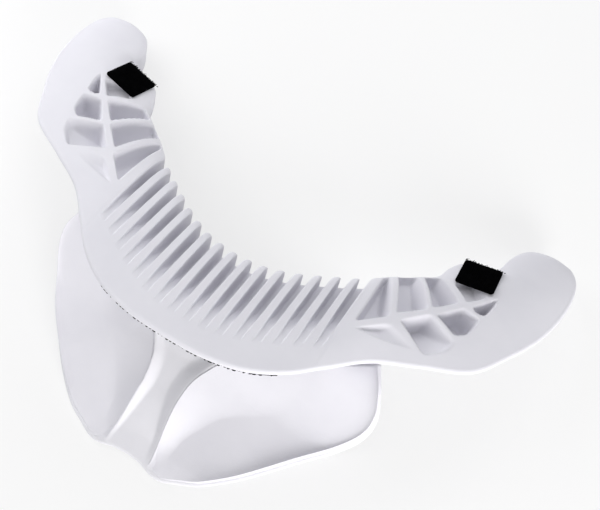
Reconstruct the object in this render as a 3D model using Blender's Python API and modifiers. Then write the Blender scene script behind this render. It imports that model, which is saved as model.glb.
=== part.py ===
"""Front padding set of a neck brace: a finned, U shaped collar pad on a two lobed chest bib.

The collar is drawn flat in its own frame (X across, Y from the front towards the tips, Z up from
its top face) and leans on its tips. The bib is drawn standing on the table. Lengths are metres.
"""
import math

import bmesh
import bpy
import numpy as np
from mathutils import Matrix, Vector

# Stance and clearance
COLLAR_LEAN = math.radians(24.0)
SEAT_GAP = 0.0003

# Collar pad section
PAD_DEPTH = 0.0125
LIP_DEPTH = 0.0030
LIP_ROUND = 0.0020
UNDERCUT = 0.0115
FRONT_NOSE_SHARE = 0.21
FRONT_NOSE_FALL = 0.0055
FRONT_CROWN = 0.0018
ARM_NOSE_SHARE = 0.42
ARM_NOSE_FALL = 0.0045
ARM_CROWN = 0.0042
FULL_FORM_WIDTH = 0.0400
NARROW_SHARE = 0.3
UNDERCUT_SHOULDER = 0.15
BOTTOM_CHAMFER = 0.0010
TIP_END_ROUND = 0.0040
LINER_THICKNESS = 0.0022

# Half outline of the collar from the front to the tip: inner edge x and y, outer edge x and y
COLLAR_STATIONS = (
    (0.0000, 0.0005, 0.0000, -0.0615),
    (0.0150, 0.0025, 0.0190, -0.0605),
    (0.0300, 0.0090, 0.0380, -0.0555),
    (0.0450, 0.0185, 0.0540, -0.0455),
    (0.0580, 0.0275, 0.0670, -0.0325),
    (0.0690, 0.0375, 0.0830, -0.0165),
    (0.0790, 0.0455, 0.1030, -0.0050),
    (0.0880, 0.0530, 0.1245, 0.0075),
    (0.0910, 0.0620, 0.1365, 0.0260),
    (0.0960, 0.0700, 0.1450, 0.0430),
    (0.1060, 0.0735, 0.1498, 0.0580),
    (0.1130, 0.0775, 0.1522, 0.0720),
    (0.1150, 0.0850, 0.1527, 0.0845),
    (0.1175, 0.0920, 0.1510, 0.0940),
    (0.1220, 0.0980, 0.1465, 0.1000),
    (0.1285, 0.1018, 0.1395, 0.1028),
)
FRONT_LAST_STATION = 3.0
FRONT_FADE_STATIONS = 2.0
STEPS_PER_SPAN = 2
TOP_SHARES = (0.0, 0.02, 0.07, 0.15, 0.28, 0.45, 0.65, 0.84)

# Grooves between the fins
GROOVES_PER_SIDE = 8
GROOVE_PITCH = 0.00788
GROOVE_WIDTH = 0.0044
GROOVE_END_WIDTH = 0.0024
GROOVE_FLOOR_SHARE = 0.7
GROOVE_DEPTH = 0.0098
GROOVE_LENGTH = 0.0550
GROOVE_FALL = ((0.0, 1.0), (0.32, 0.96), (0.46, 0.76), (0.57, 0.42), (0.68, 0.13), (1.0, 0.0))
GROOVE_OVERRUN = 0.0060
CUTTER_HEADROOM = 0.0080

# Open cells on each arm: corners of each pocket in the collar's plan
POCKET_DEPTH = 0.0088
POCKET_DRAFT = math.radians(13.0)
POCKET_CORNER = 0.0014
POCKETS = (
    ((0.1190, 0.0502), (0.1112, 0.0400), (0.1170, 0.0385)),
    ((0.1164, 0.0353), (0.1060, 0.0352), (0.0995, 0.0273), (0.1117, 0.0206)),
    ((0.1108, 0.0170), (0.0957, 0.0231), (0.0860, 0.0131), (0.1057, 0.0055)),
    ((0.1140, 0.0500), (0.1040, 0.0610), (0.0970, 0.0530), (0.1080, 0.0438)),
    ((0.1034, 0.0398), (0.0900, 0.0510), (0.0840, 0.0455), (0.0943, 0.0288)),
    ((0.0917, 0.0263), (0.0805, 0.0435), (0.0730, 0.0372), (0.0813, 0.0166)),
    ((0.0788, 0.0127), (0.0680, 0.0335), (0.0685, 0.0015)),
)
RAMP_DEPTH = 0.0045
RAMP_RISE = 0.0003
RAMP_POCKET = ((0.0835, 0.0090), (0.0725, -0.0025), (0.0840, -0.0085), (0.0990, 0.0025))

# Hook tabs at the tips and the tape at the seam
TAB_SIZE = 0.0200
TAB_THICKNESS = 0.0018
TAB_CENTRE = (0.1061, 0.0606, 0.0021)
TAB_TURN = math.radians(2.5)
TAB_TILT = math.radians(14.0)
TAB_UPHILL = math.radians(-35.0)
TAB_CORNER = 0.0015
TAPE_THICKNESS = 0.0015
HOOK_STRIP_LENGTH = 0.0980
HOOK_STRIP_WIDTH = 0.0400
HOOK_STRIP_REACH = 0.0012
HOOK_STRIP_COLUMNS = 13
LOOP_STRIP_LENGTH = 0.0460
LOOP_STRIP_WIDTH = 0.0140
LOOP_STRIP_FRONT = -0.0215

# Chest bib standing on the table, y counted from the collar's origin
BIB_FRONT_RIM = (
    (0.0000, -0.1110),
    (0.0140, -0.1105),
    (0.0270, -0.1078),
    (0.0400, -0.1015),
    (0.0530, -0.0905),
    (0.0650, -0.0780),
    (0.0778, -0.0640),
    (0.0885, -0.0505),
    (0.0948, -0.0390),
    (0.0928, -0.0300),
    (0.0873, -0.0200),
)
BIB_TOP_EDGE = (
    (0.0000, -0.0125),
    (0.0300, -0.0125),
    (0.0480, -0.0110),
    (0.0640, -0.0080),
    (0.0840, -0.0060),
)
SHEET_THICKNESS = 0.0024
SHEET_COLUMNS = 19
SHEET_RIM_SHARES = (0.0, 0.035)
SHEET_FIELD_SHARES = tuple(np.linspace(0.08, 0.70, 9))
SHEET_NECK_SHARES = tuple(np.linspace(0.74, 0.86, 8))
SHEET_LAND_SHARES = (0.92, 1.0)
FLANGE_WIDTH = 0.0035
BIB_RISE_START = -0.0970
BIB_RISE_REACH = 0.0470
BIB_RISE = 0.0160
BIB_RISE_POWER = 1.35
BIB_RISE_SOFTNESS = 0.09
BIB_SIDE_POWER = 1.3
BACK_START = -0.0450
BACK_REACH = 0.0300
BACK_RISE = 0.0240
SLOPE_STEP = 0.0002
STEEPEST = 2.0
LEAST_HALF_WIDTH = 0.0010
NECK_FOOT = -0.0365
NECK_HEAD = -0.0280
NECK_HALF_WIDTH = 0.0250
NECK_SIDE_RUN = 0.0090

# Raised lobes on the bib, each from its edge along the middle channel to the flange
LOBE_RIDGE = 0.0110
LOBE_SKIRT = 0.0060
LOBE_FRONT_SHARE = 0.45
LOBE_FRONT_RUN = 0.5
LOBE_FRONT_X = 0.0230
LOBE_INSET = 0.0038
LOBE_ROUND = 0.0050
LOBE_WALL_SHARE = 0.35
LOBE_SINK = 0.0010
LOBE_ROWS = 15
LOBE_FIELD_COLUMNS = 8
LOBE_CHANNEL_EDGE = (
    (0.0130, -0.1060),
    (0.0134, -0.0950),
    (0.0118, -0.0830),
    (0.0107, -0.0710),
    (0.0130, -0.0600),
    (0.0192, -0.0500),
    (0.0245, -0.0430),
)

# Finishes: base colour, roughness
FOAM_WHITE = ((0.80, 0.79, 0.84), 0.62)
LINER_WHITE = ((0.84, 0.84, 0.87), 0.75)
TAPE_BLACK = ((0.012, 0.012, 0.014), 0.95)


def clear_scene():
    """Remove every object, so the script starts from an empty scene."""
    for item in list(bpy.data.objects):
        bpy.data.objects.remove(item, do_unlink=True)


def new_collection(name):
    """Return a fresh collection linked to the scene."""
    group = bpy.data.collections.new(name)
    bpy.context.scene.collection.children.link(group)
    return group


def finish(name, look):
    """Return a Principled material for a (colour, roughness) pair."""
    colour, roughness = look
    material = bpy.data.materials.new(name)
    material.use_nodes = True
    shader = material.node_tree.nodes["Principled BSDF"]
    shader.inputs["Base Color"].default_value = (*colour, 1.0)
    shader.inputs["Roughness"].default_value = roughness
    shader.inputs["Metallic"].default_value = 0.0
    return material


def add_object(name, mesh, group, parent, look=None):
    """Wrap a mesh in a named object under a parent, with its own material."""
    item = bpy.data.objects.new(name, mesh)
    item.parent = parent
    group.objects.link(item)
    if look:
        mesh.materials.append(finish(name + "_finish", look))
    else:
        item.hide_render = True
        item.display_type = "WIRE"
    return item


def smooth_path(rows, steps):
    """Catmull Rom curve through the rows, with a number of steps in each span."""
    rows = np.array(rows, dtype=float)
    padded = np.vstack([2 * rows[0] - rows[1], rows, 2 * rows[-1] - rows[-2]])
    t = np.linspace(0.0, 1.0, steps, endpoint=False)[:, None]
    spans = []
    for a, b, c, d in zip(padded, padded[1:], padded[2:], padded[3:]):
        spans.append(0.5 * (2 * b + (c - a) * t + (2 * a - 5 * b + 4 * c - d) * t ** 2
                            + (3 * b - a - 3 * c + d) * t ** 3))
    return np.vstack(spans + [rows[-1:]])


def smooth_step(value):
    """Ramp from 0 to 1 with flat ends."""
    value = np.clip(value, 0.0, 1.0)
    return value * value * (3.0 - 2.0 * value)


def soft_cap(value):
    """Values from 0 that level off at 1 without a crease."""
    level = np.exp(-value / BIB_RISE_SOFTNESS) + np.exp(-1.0 / BIB_RISE_SOFTNESS)
    return np.maximum(-BIB_RISE_SOFTNESS * np.log(level), 0.0)


def loft(name, rings, cap_start=False):
    """Skin a list of equal closed rings into a mesh, capped at its end and, if asked, at its start."""
    rings = np.array(rings)
    count, size = rings.shape[:2]
    index = np.arange(count * size).reshape(count, size)
    faces = []
    for row in range(count - 1):
        for k in range(size):
            n = (k + 1) % size
            faces.append((index[row, k], index[row, n], index[row + 1, n], index[row + 1, k]))
    if cap_start:
        faces.append(tuple(index[0, ::-1]))
    faces.append(tuple(index[-1]))
    mesh = bpy.data.meshes.new(name)
    mesh.from_pydata(rings.reshape(-1, 3).tolist(), [], [[int(i) for i in face] for face in faces])
    return outward(mesh)


def slab(name, upper, lower):
    """Close two facing grids of points into one body, in triangles that match grid for grid."""
    rows, columns = upper.shape[:2]
    index = np.arange(2 * rows * columns).reshape(2, rows, columns)
    faces = []
    for grid in index:
        for r in range(rows - 1):
            for c in range(columns - 1):
                faces.append((grid[r, c], grid[r, c + 1], grid[r + 1, c + 1]))
                faces.append((grid[r, c], grid[r + 1, c + 1], grid[r + 1, c]))
    border = [(r, 0) for r in range(rows)]
    border += [(rows - 1, c) for c in range(1, columns)]
    border += [(r, columns - 1) for r in range(rows - 2, -1, -1)]
    border += [(0, c) for c in range(columns - 2, 0, -1)]
    for (r, c), (rn, cn) in zip(border, border[1:] + border[:1]):
        faces.append((index[0, r, c], index[0, rn, cn], index[1, rn, cn], index[1, r, c]))
    points = np.concatenate([upper.reshape(-1, 3), lower.reshape(-1, 3)])
    mesh = bpy.data.meshes.new(name)
    mesh.from_pydata(points.tolist(), [], [[int(i) for i in face] for face in faces])
    return outward(mesh)


def outward(mesh):
    """Turn every face of a mesh outwards."""
    work = bmesh.new()
    work.from_mesh(mesh)
    bmesh.ops.recalc_face_normals(work, faces=work.faces[:])
    work.to_mesh(mesh)
    work.free()
    mesh.update()
    return mesh


def shade_round(item, angle=math.radians(40.0)):
    """Smooth shading with sharp edges kept."""
    item.data.shade_smooth()
    item.data.set_sharp_from_angle(angle=angle)


def mirror_across(item):
    """Mirror a half that is open at x = 0."""
    step = item.modifiers.new("Mirror", "MIRROR")
    step.use_axis = (True, False, False)
    step.merge_threshold = 0.00005


def cut(item, cutter, name):
    """Take a cutter out of a piece."""
    step = item.modifiers.new(name, "BOOLEAN")
    step.operation = "DIFFERENCE"
    step.solver = "EXACT"
    step.object = cutter


# Collar


def collar_sections():
    """Inner point, outward direction, width, front share and tip share of each half section."""
    rows = smooth_path(COLLAR_STATIONS, STEPS_PER_SPAN)
    place = np.arange(len(rows)) / STEPS_PER_SPAN
    front = 1.0 - smooth_step((place - FRONT_LAST_STATION) / FRONT_FADE_STATIONS)
    inner = rows[:, :2]
    across = rows[:, 2:] - inner
    width = np.linalg.norm(across, axis=1)
    end = rows[-1, [1, 3]].mean() - rows[:, [1, 3]].mean(axis=1)
    tip = 1.0 - np.clip(end / TIP_END_ROUND, 0.0, 1.0)
    return inner, across / width[:, None], width, front, tip


def quarter_round(steps):
    """Unit quarter circle as (run, fall) pairs, from the wall foot (0, 1) to the top (1, 0)."""
    turn = np.linspace(0.0, math.pi / 2, steps)
    return np.stack([1.0 - np.cos(turn), 1.0 - np.sin(turn)], axis=1)


def top_height(share, width, front):
    """Height of the top face at a share of the way from the inner to the outer edge.

    A sine crown stands over the width and a quarter ellipse falls away to the inner edge.
    """
    form = min(1.0, width / FULL_FORM_WIDTH)
    crown = form * (ARM_CROWN + (FRONT_CROWN - ARM_CROWN) * front)
    fall = form * (ARM_NOSE_FALL + (FRONT_NOSE_FALL - ARM_NOSE_FALL) * front)
    reach = ARM_NOSE_SHARE + (FRONT_NOSE_SHARE - ARM_NOSE_SHARE) * front
    bend = 1.0 - np.minimum(share / reach, 1.0)
    return crown * np.sin(math.pi * share) - fall * (1.0 - np.sqrt(1.0 - bend * bend))


def undercut_of(width):
    """Inset of the pad's foot under its outer edge."""
    return np.minimum(UNDERCUT, NARROW_SHARE * width)


def collar_profile(width, front, tip):
    """Closed section of the pad as (distance from the inner edge, height) pairs."""
    inset = undercut_of(width)
    drop = LIP_DEPTH * (1.0 - math.sqrt(1.0 - tip * tip))
    share = np.array(TOP_SHARES) * (1.0 - LIP_ROUND / width)
    top = np.column_stack([share * width, top_height(share, width, front) - drop])
    lip = [(width - LIP_ROUND * run, -LIP_ROUND * fall - drop)
           for run, fall in quarter_round(3)[::-1]]
    under = [(width - UNDERCUT_SHOULDER * inset, -LIP_DEPTH - drop),
             (width - inset, BOTTOM_CHAMFER - PAD_DEPTH),
             (width - inset - BOTTOM_CHAMFER, -PAD_DEPTH),
             (BOTTOM_CHAMFER, -PAD_DEPTH),
             (0.0, BOTTOM_CHAMFER - PAD_DEPTH)]
    return np.vstack([top, lip, under])


def liner_profile(width):
    """Closed section of the liner sheet below the pad."""
    top = -PAD_DEPTH - SEAT_GAP
    low = top - LINER_THICKNESS
    far = width - undercut_of(width)
    return np.array([(SEAT_GAP, top), (far, top), (far, low), (SEAT_GAP, low)])


def place_profile(profile, start, direction):
    """Stand a (run, height) profile up along a plan direction."""
    plan = start + profile[:, :1] * direction
    return np.column_stack([plan, profile[:, 1]])


def collar_rings():
    """Section rings of the pad and of the liner for one half."""
    pad, liner = [], []
    for start, direction, width, front, tip in zip(*collar_sections()):
        pad.append(place_profile(collar_profile(width, front, tip), start, direction))
        liner.append(place_profile(liner_profile(width), start, direction))
    return np.array(pad), np.array(liner)


def stand(points):
    """Collar frame to table directions: lean about X, without the lift."""
    c, s = math.cos(COLLAR_LEAN), math.sin(COLLAR_LEAN)
    x, y, z = np.moveaxis(np.asarray(points, dtype=float), -1, 0)
    return np.stack([x, y * c + z * s, z * c - y * s], axis=-1)


def groove_section(width, floor):
    """Trough section as (offset, height) pairs, at full width level with the collar's frame plane."""
    half = 0.5 * width
    base = half * GROOVE_FLOOR_SHARE
    head = half + (half - base) * CUTTER_HEADROOM / GROOVE_DEPTH
    return (-head, CUTTER_HEADROOM), (-base, floor), (base, floor), (head, CUTTER_HEADROOM)


def groove_cutter_mesh():
    """Tapered troughs that leave the fins standing, open at the inner edge."""
    inner = smooth_path(COLLAR_STATIONS, STEPS_PER_SPAN)[:, :2]
    work = bmesh.new()
    for number in range(-GROOVES_PER_SIDE, GROOVES_PER_SIDE):
        x = GROOVE_PITCH * (number + 0.5)
        mouth = np.interp(abs(x), inner[:, 0], inner[:, 1])
        rings = []
        for run, deep in GROOVE_FALL:
            y = mouth - run * GROOVE_LENGTH if run else mouth + GROOVE_OVERRUN
            width = GROOVE_WIDTH + (GROOVE_END_WIDTH - GROOVE_WIDTH) * run
            floor = FRONT_CROWN * run - GROOVE_DEPTH * deep
            rings.append([(x + offset, y, height) for offset, height in groove_section(width, floor)])
        part = loft("trough", rings, cap_start=True)
        work.from_mesh(part)
        bpy.data.meshes.remove(part)
    mesh = bpy.data.meshes.new("groove_cutter")
    work.to_mesh(mesh)
    work.free()
    return outward(mesh)


def round_uprights(block, radius, segments):
    """Round the upright edges of a block."""
    upright = []
    for edge in block.edges:
        run = edge.verts[0].co - edge.verts[1].co
        if run.xy.length < abs(run.z):
            upright.append(edge)
    bmesh.ops.bevel(block, geom=upright, offset=radius, segments=segments, profile=0.5, affect="EDGES")


def pocket_body(work, corners, side):
    """Add one drafted pocket with rounded corners to the cutter."""
    points = np.array(corners) * (side, 1.0)
    block = bmesh.new()
    verts = [block.verts.new((px, py, CUTTER_HEADROOM)) for px, py in points]
    block.faces.new(verts)
    grown = bmesh.ops.extrude_face_region(block, geom=block.faces[:])
    floor = [item for item in grown["geom"] if isinstance(item, bmesh.types.BMVert)]
    bmesh.ops.translate(block, verts=floor, vec=(0.0, 0.0, -POCKET_DEPTH - CUTTER_HEADROOM))
    round_uprights(block, POCKET_CORNER, 2)
    low = [vert for vert in block.verts if vert.co.z < 0.0]
    middle = points.mean(axis=0)
    reach = np.linalg.norm(points - middle, axis=1).mean()
    shrink = 1.0 - POCKET_DEPTH * math.tan(POCKET_DRAFT) / reach
    for vert in low:
        vert.co.x = middle[0] + (vert.co.x - middle[0]) * shrink
        vert.co.y = middle[1] + (vert.co.y - middle[1]) * shrink
    part = bpy.data.meshes.new("pocket")
    block.to_mesh(part)
    block.free()
    work.from_mesh(outward(part))
    bpy.data.meshes.remove(part)


def pocket_cutter_mesh():
    """All the open cells of both arms, with the ramped cell at the foot of each spine rib."""
    work = bmesh.new()
    for side in (1.0, -1.0):
        for corners in POCKETS:
            pocket_body(work, corners, side)
        deep = [(side * px, py, -RAMP_DEPTH) for px, py in RAMP_POCKET[:2]]
        shallow = [(side * px, py, RAMP_RISE) for px, py in RAMP_POCKET[2:]]
        head = [(side * px, py, CUTTER_HEADROOM) for px, py in RAMP_POCKET]
        part = loft("ramp", [deep + shallow, head], cap_start=True)
        work.from_mesh(part)
        bpy.data.meshes.remove(part)
    mesh = bpy.data.meshes.new("pocket_cutter")
    work.to_mesh(mesh)
    work.free()
    return outward(mesh)


def tab_block(side, size, low, high):
    """Square block with rounded corners between two heights in a tab's tilted frame."""
    work = bmesh.new()
    bmesh.ops.create_cube(work, size=1.0)
    bmesh.ops.scale(work, verts=work.verts[:], vec=(size, size, high - low))
    bmesh.ops.translate(work, verts=work.verts[:], vec=(0.0, 0.0, 0.5 * (low + high)))
    round_uprights(work, TAB_CORNER, 3)
    uphill = TAB_UPHILL if side > 0 else math.pi - TAB_UPHILL
    axis = Vector((math.sin(uphill), -math.cos(uphill), 0.0))
    place = Matrix.Translation((side * TAB_CENTRE[0], *TAB_CENTRE[1:]))
    tilt = Matrix.Rotation(TAB_TILT, 4, axis)
    turn = Matrix.Rotation(side * TAB_TURN, 4, "Z")
    work.transform(place @ tilt @ turn)
    mesh = bpy.data.meshes.new("hook_tab")
    work.to_mesh(mesh)
    work.free()
    return outward(mesh)


def tab_seat_mesh():
    """Shallow seats for both tabs, a clearance below and around each tab."""
    work = bmesh.new()
    for side in (1.0, -1.0):
        part = tab_block(side, TAB_SIZE + 2 * SEAT_GAP, -SEAT_GAP, CUTTER_HEADROOM)
        work.from_mesh(part)
        bpy.data.meshes.remove(part)
    mesh = bpy.data.meshes.new("tab_seat_cutter")
    work.to_mesh(mesh)
    work.free()
    return mesh


def hook_strip_mesh():
    """Hook tape under the collar's front, its front edge along the liner's edge."""
    inner, direction, width, _, _ = collar_sections()
    far = inner + direction * (width - undercut_of(width) + HOOK_STRIP_REACH)[:, None]
    x = np.linspace(-0.5 * HOOK_STRIP_LENGTH, 0.5 * HOOK_STRIP_LENGTH, HOOK_STRIP_COLUMNS)
    front = np.interp(np.abs(x), far[:, 0], far[:, 1])
    top = -PAD_DEPTH - LINER_THICKNESS - 2 * SEAT_GAP
    rings = []
    for px, py in zip(x, front):
        back = py + HOOK_STRIP_WIDTH
        low = top - TAPE_THICKNESS
        rings.append([(px, py, top), (px, back, top), (px, back, low), (px, py, low)])
    return loft("hook_strip", rings, cap_start=True)


def loop_strip_mesh():
    """Straight loop tape on the bib's neck, drawn in the collar frame."""
    top = -PAD_DEPTH - LINER_THICKNESS - 3 * SEAT_GAP - TAPE_THICKNESS
    work = bmesh.new()
    bmesh.ops.create_cube(work, size=1.0)
    bmesh.ops.scale(work, verts=work.verts[:], vec=(LOOP_STRIP_LENGTH, LOOP_STRIP_WIDTH, TAPE_THICKNESS))
    middle = (0.0, LOOP_STRIP_FRONT + 0.5 * LOOP_STRIP_WIDTH, top - 0.5 * TAPE_THICKNESS)
    bmesh.ops.translate(work, verts=work.verts[:], vec=middle)
    mesh = bpy.data.meshes.new("loop_strip")
    work.to_mesh(mesh)
    work.free()
    return mesh


# Chest bib


def bib_side():
    """Rim of one half of the bib from the front middle to the top corner."""
    return np.vstack([smooth_path(BIB_FRONT_RIM, 6), BIB_TOP_EDGE[-1:]])


def bib_half_width(y):
    """Half width of the bib's rim at a given y."""
    side = bib_side()
    return np.interp(y, side[:, 1], side[:, 0])


def lobe_outer_edge():
    """Rim of the bib moved inwards by the lobe's inset, from the lobe's front corner to the top."""
    side = bib_side()
    run = np.gradient(side, axis=0)
    run = run / np.linalg.norm(run, axis=1)[:, None]
    inner = side + LOBE_INSET * np.column_stack([-run[:, 1], run[:, 0]])
    inner[-1, 1] -= LOBE_INSET
    return inner[inner[:, 0] >= LOBE_FRONT_X]


def bib_height(x, y, lift):
    """Height of the backing sheet's upper face over the table.

    The middle line rises as a power of the distance behind BIB_RISE_START, levels off and falls to
    the flange at the sides. The whole back turns up under the collar, where the middle blends into
    the neck, a land parallel to the collar.
    """
    run = np.maximum((y - BIB_RISE_START) / BIB_RISE_REACH, 0.0)
    rise = BIB_RISE * soft_cap(run) ** BIB_RISE_POWER
    room = np.maximum(bib_half_width(y) - FLANGE_WIDTH, LEAST_HALF_WIDTH)
    side = np.clip(1.0 - (np.abs(x) / room) ** 2, 0.0, None) ** BIB_SIDE_POWER
    back = BACK_RISE * smooth_step((y - BACK_START) / BACK_REACH)
    sheet = SHEET_THICKNESS + rise * side + back
    neck = smooth_step((y - NECK_FOOT) / (NECK_HEAD - NECK_FOOT))
    neck = neck * smooth_step((NECK_HALF_WIDTH + NECK_SIDE_RUN - np.abs(x)) / NECK_SIDE_RUN)
    land = land_height(y, lift)
    return sheet + (land - sheet) * neck


def land_height(y, lift):
    """Height of the neck's land, which lies under the loop tape parallel to the collar."""
    offset = -PAD_DEPTH - LINER_THICKNESS - 4 * SEAT_GAP - 2 * TAPE_THICKNESS
    c, s = math.cos(COLLAR_LEAN), math.sin(COLLAR_LEAN)
    return lift + offset / c - y * s / c


def sheet_grid():
    """Plan points of the backing sheet: lines from the front rim to the top edge, left to right."""
    across = np.linspace(0.0, 1.0, SHEET_COLUMNS)
    front = resample(smooth_path(BIB_FRONT_RIM, 8), across)
    back = resample(np.array(BIB_TOP_EDGE), across)
    share = np.array(SHEET_RIM_SHARES + SHEET_FIELD_SHARES + SHEET_NECK_SHARES + SHEET_LAND_SHARES)
    half = front[:, None] + (back - front)[:, None] * share[:, None]
    return np.concatenate([half[:0:-1] * (-1.0, 1.0), half])


def bib_slope(x, y, lift):
    """Length of slope over length of plan of the backing sheet's upper face."""
    step = SLOPE_STEP
    across = (bib_height(x + step, y, lift) - bib_height(x - step, y, lift)) / (2 * step)
    along = (bib_height(x, y + step, lift) - bib_height(x, y - step, lift)) / (2 * step)
    return np.minimum(np.sqrt(1.0 + across ** 2 + along ** 2), STEEPEST)


def bib_sheet_mesh(lift, above=0.0, below=SHEET_THICKNESS):
    """Sheet over the plan grid, from a clearance above the upper face to a thickness below it."""
    plan = sheet_grid()
    x, y = np.moveaxis(plan, -1, 0)
    height = bib_height(x, y, lift)
    slope = bib_slope(x, y, lift)
    upper = np.concatenate([plan, (height + above)[..., None]], axis=-1)
    foot = np.maximum(height - below * slope, SHEET_THICKNESS - below)
    lower = np.concatenate([plan, foot[..., None]], axis=-1)
    return slab("bib_sheet", upper, lower)


def resample(rows, shares):
    """Points at even shares of a polyline's length."""
    length = np.concatenate([[0.0], np.cumsum(np.linalg.norm(np.diff(rows, axis=0), axis=1))])
    return np.column_stack([np.interp(shares * length[-1], length, rows[:, k]) for k in (0, 1)])


def lobe_mesh(side, lift):
    """One raised lobe: a ridge along the channel, falling to a rounded edge inside the flange."""
    v = np.linspace(0.0, 1.0, LOBE_ROWS)
    near = resample(smooth_path(LOBE_CHANNEL_EDGE, 6), v)
    far = resample(lobe_outer_edge(), v)
    length = np.linalg.norm(near[-1] - near[0])
    lower, upper = [], []
    for share, start, end in zip(v, near, far):
        width = np.linalg.norm(end - start)
        edge = min(LOBE_ROUND / width, NARROW_SHARE)
        rim = NARROW_SHARE * edge
        field = np.linspace(edge, 1.0 - edge, LOBE_FIELD_COLUMNS)
        u = np.concatenate([[0.0, rim], field, [1.0 - rim, 1.0]])
        line = start + (end - start) * u[:, None]
        border = np.minimum((1.0 - u) * width, min(share, 1.0 - share) * length)
        gap = np.clip(border / LOBE_ROUND, 0.0, 1.0)
        rounding = LOBE_WALL_SHARE + (1.0 - LOBE_WALL_SHARE) * np.sqrt(1.0 - (1.0 - gap) ** 2)
        front = LOBE_FRONT_SHARE + (1.0 - LOBE_FRONT_SHARE) * smooth_step(share / LOBE_FRONT_RUN)
        crown = (LOBE_RIDGE + (LOBE_SKIRT - LOBE_RIDGE) * u) * rounding * front
        base = bib_height(line[:, 0], line[:, 1], lift)
        lower.append(np.column_stack([line * (side, 1.0), base - LOBE_SINK]))
        upper.append(np.column_stack([line * (side, 1.0), base + crown]))
    return slab("lobe", np.array(upper), np.array(lower))


def build():
    """Model every piece and set it in place."""
    clear_scene()
    parts = new_collection("neck_brace_front_padding")
    cutters = new_collection("cutters")

    pad_rings, liner_rings = collar_rings()
    lift = -stand(liner_rings)[..., 2].min()
    back = stand(np.concatenate([pad_rings, liner_rings], axis=1))[..., 1].max()
    centre = 0.5 * (back + BIB_FRONT_RIM[0][1])

    stance = bpy.data.objects.new("collar_stance", None)
    stance.location = (0.0, -centre, lift)
    stance.rotation_euler = (-COLLAR_LEAN, 0.0, 0.0)
    parts.objects.link(stance)
    table = bpy.data.objects.new("bib_stance", None)
    table.location = (0.0, -centre, 0.0)
    parts.objects.link(table)

    pad = add_object("collar_pad", loft("collar_pad", pad_rings), parts, stance, FOAM_WHITE)
    mirror_across(pad)
    cut(pad, add_object("groove_cutter", groove_cutter_mesh(), cutters, stance), "Fins")
    cut(pad, add_object("pocket_cutter", pocket_cutter_mesh(), cutters, stance), "Cells")
    cut(pad, add_object("tab_seat_cutter", tab_seat_mesh(), cutters, stance), "Tab seats")
    liner = add_object("collar_liner", loft("collar_liner", liner_rings), parts, stance, LINER_WHITE)
    mirror_across(liner)

    for side, name in ((-1.0, "left"), (1.0, "right")):
        tab = tab_block(side, TAB_SIZE, 0.0, TAB_THICKNESS)
        add_object(name + "_tip_hook_tab", tab, parts, stance, TAPE_BLACK)
    add_object("front_hook_strip", hook_strip_mesh(), parts, stance, TAPE_BLACK)
    add_object("chest_loop_strip", loop_strip_mesh(), parts, stance, TAPE_BLACK)

    add_object("chest_backing_sheet", bib_sheet_mesh(lift), parts, table, LINER_WHITE)
    seat_mesh = bib_sheet_mesh(lift, SEAT_GAP, SHEET_THICKNESS + LOBE_SINK)
    seat = add_object("lobe_seat_cutter", seat_mesh, cutters, table)
    for side, name in ((-1.0, "left"), (1.0, "right")):
        lobe = add_object(name + "_chest_lobe", lobe_mesh(side, lift), parts, table, FOAM_WHITE)
        cut(lobe, seat, "Seat")

    for item in parts.objects:
        if item.type == "MESH":
            shade_round(item)


build()
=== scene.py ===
"""Looks for the front padding of a neck brace: a finned collar pad on a two lobed chest bib.

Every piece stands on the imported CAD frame. Lengths are metres, +Z is up. The collar is worked out flat
in its own frame (X across, Y from the front towards the tips, Z up from its top face) and is then leant
back on its tips. The bib is worked out over the table, with y counted from the collar's origin.
"""
from __future__ import annotations

import logging
import math
from dataclasses import dataclass
from enum import Enum

import bpy
import numpy as np
from mathutils import Matrix, Vector

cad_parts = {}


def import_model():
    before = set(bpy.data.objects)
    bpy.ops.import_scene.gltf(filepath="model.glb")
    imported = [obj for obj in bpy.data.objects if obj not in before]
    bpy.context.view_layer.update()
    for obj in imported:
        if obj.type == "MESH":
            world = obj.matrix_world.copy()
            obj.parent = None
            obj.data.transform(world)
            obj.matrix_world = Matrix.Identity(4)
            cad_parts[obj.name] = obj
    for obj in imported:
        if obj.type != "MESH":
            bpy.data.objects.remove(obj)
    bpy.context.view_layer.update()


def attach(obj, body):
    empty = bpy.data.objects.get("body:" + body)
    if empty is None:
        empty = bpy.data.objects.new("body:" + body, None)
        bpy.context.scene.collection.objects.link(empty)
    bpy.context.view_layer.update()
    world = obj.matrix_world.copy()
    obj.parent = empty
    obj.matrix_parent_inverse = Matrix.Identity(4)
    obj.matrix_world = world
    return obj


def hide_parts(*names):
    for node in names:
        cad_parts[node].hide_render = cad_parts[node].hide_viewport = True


LOG = logging.getLogger("padding")


class Side(Enum):
    """The two mirrored sides of the padding, by the sign of X."""

    LEFT = -1.0
    RIGHT = 1.0


class Body(Enum):
    """The rigid bodies that the pieces ride on."""

    BIB = "chest_bib"
    COLLAR = "collar"


# Curves and distances


def ramp(value: np.ndarray) -> np.ndarray:
    """Rise from 0 to 1 with flat ends: 3 t squared less 2 t cubed.

    Args:
        value: Positions, clipped to the range from 0 to 1.

    Returns:
        The eased positions.
    """
    value = np.clip(value, 0.0, 1.0)
    return value * value * (3.0 - 2.0 * value)


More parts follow.
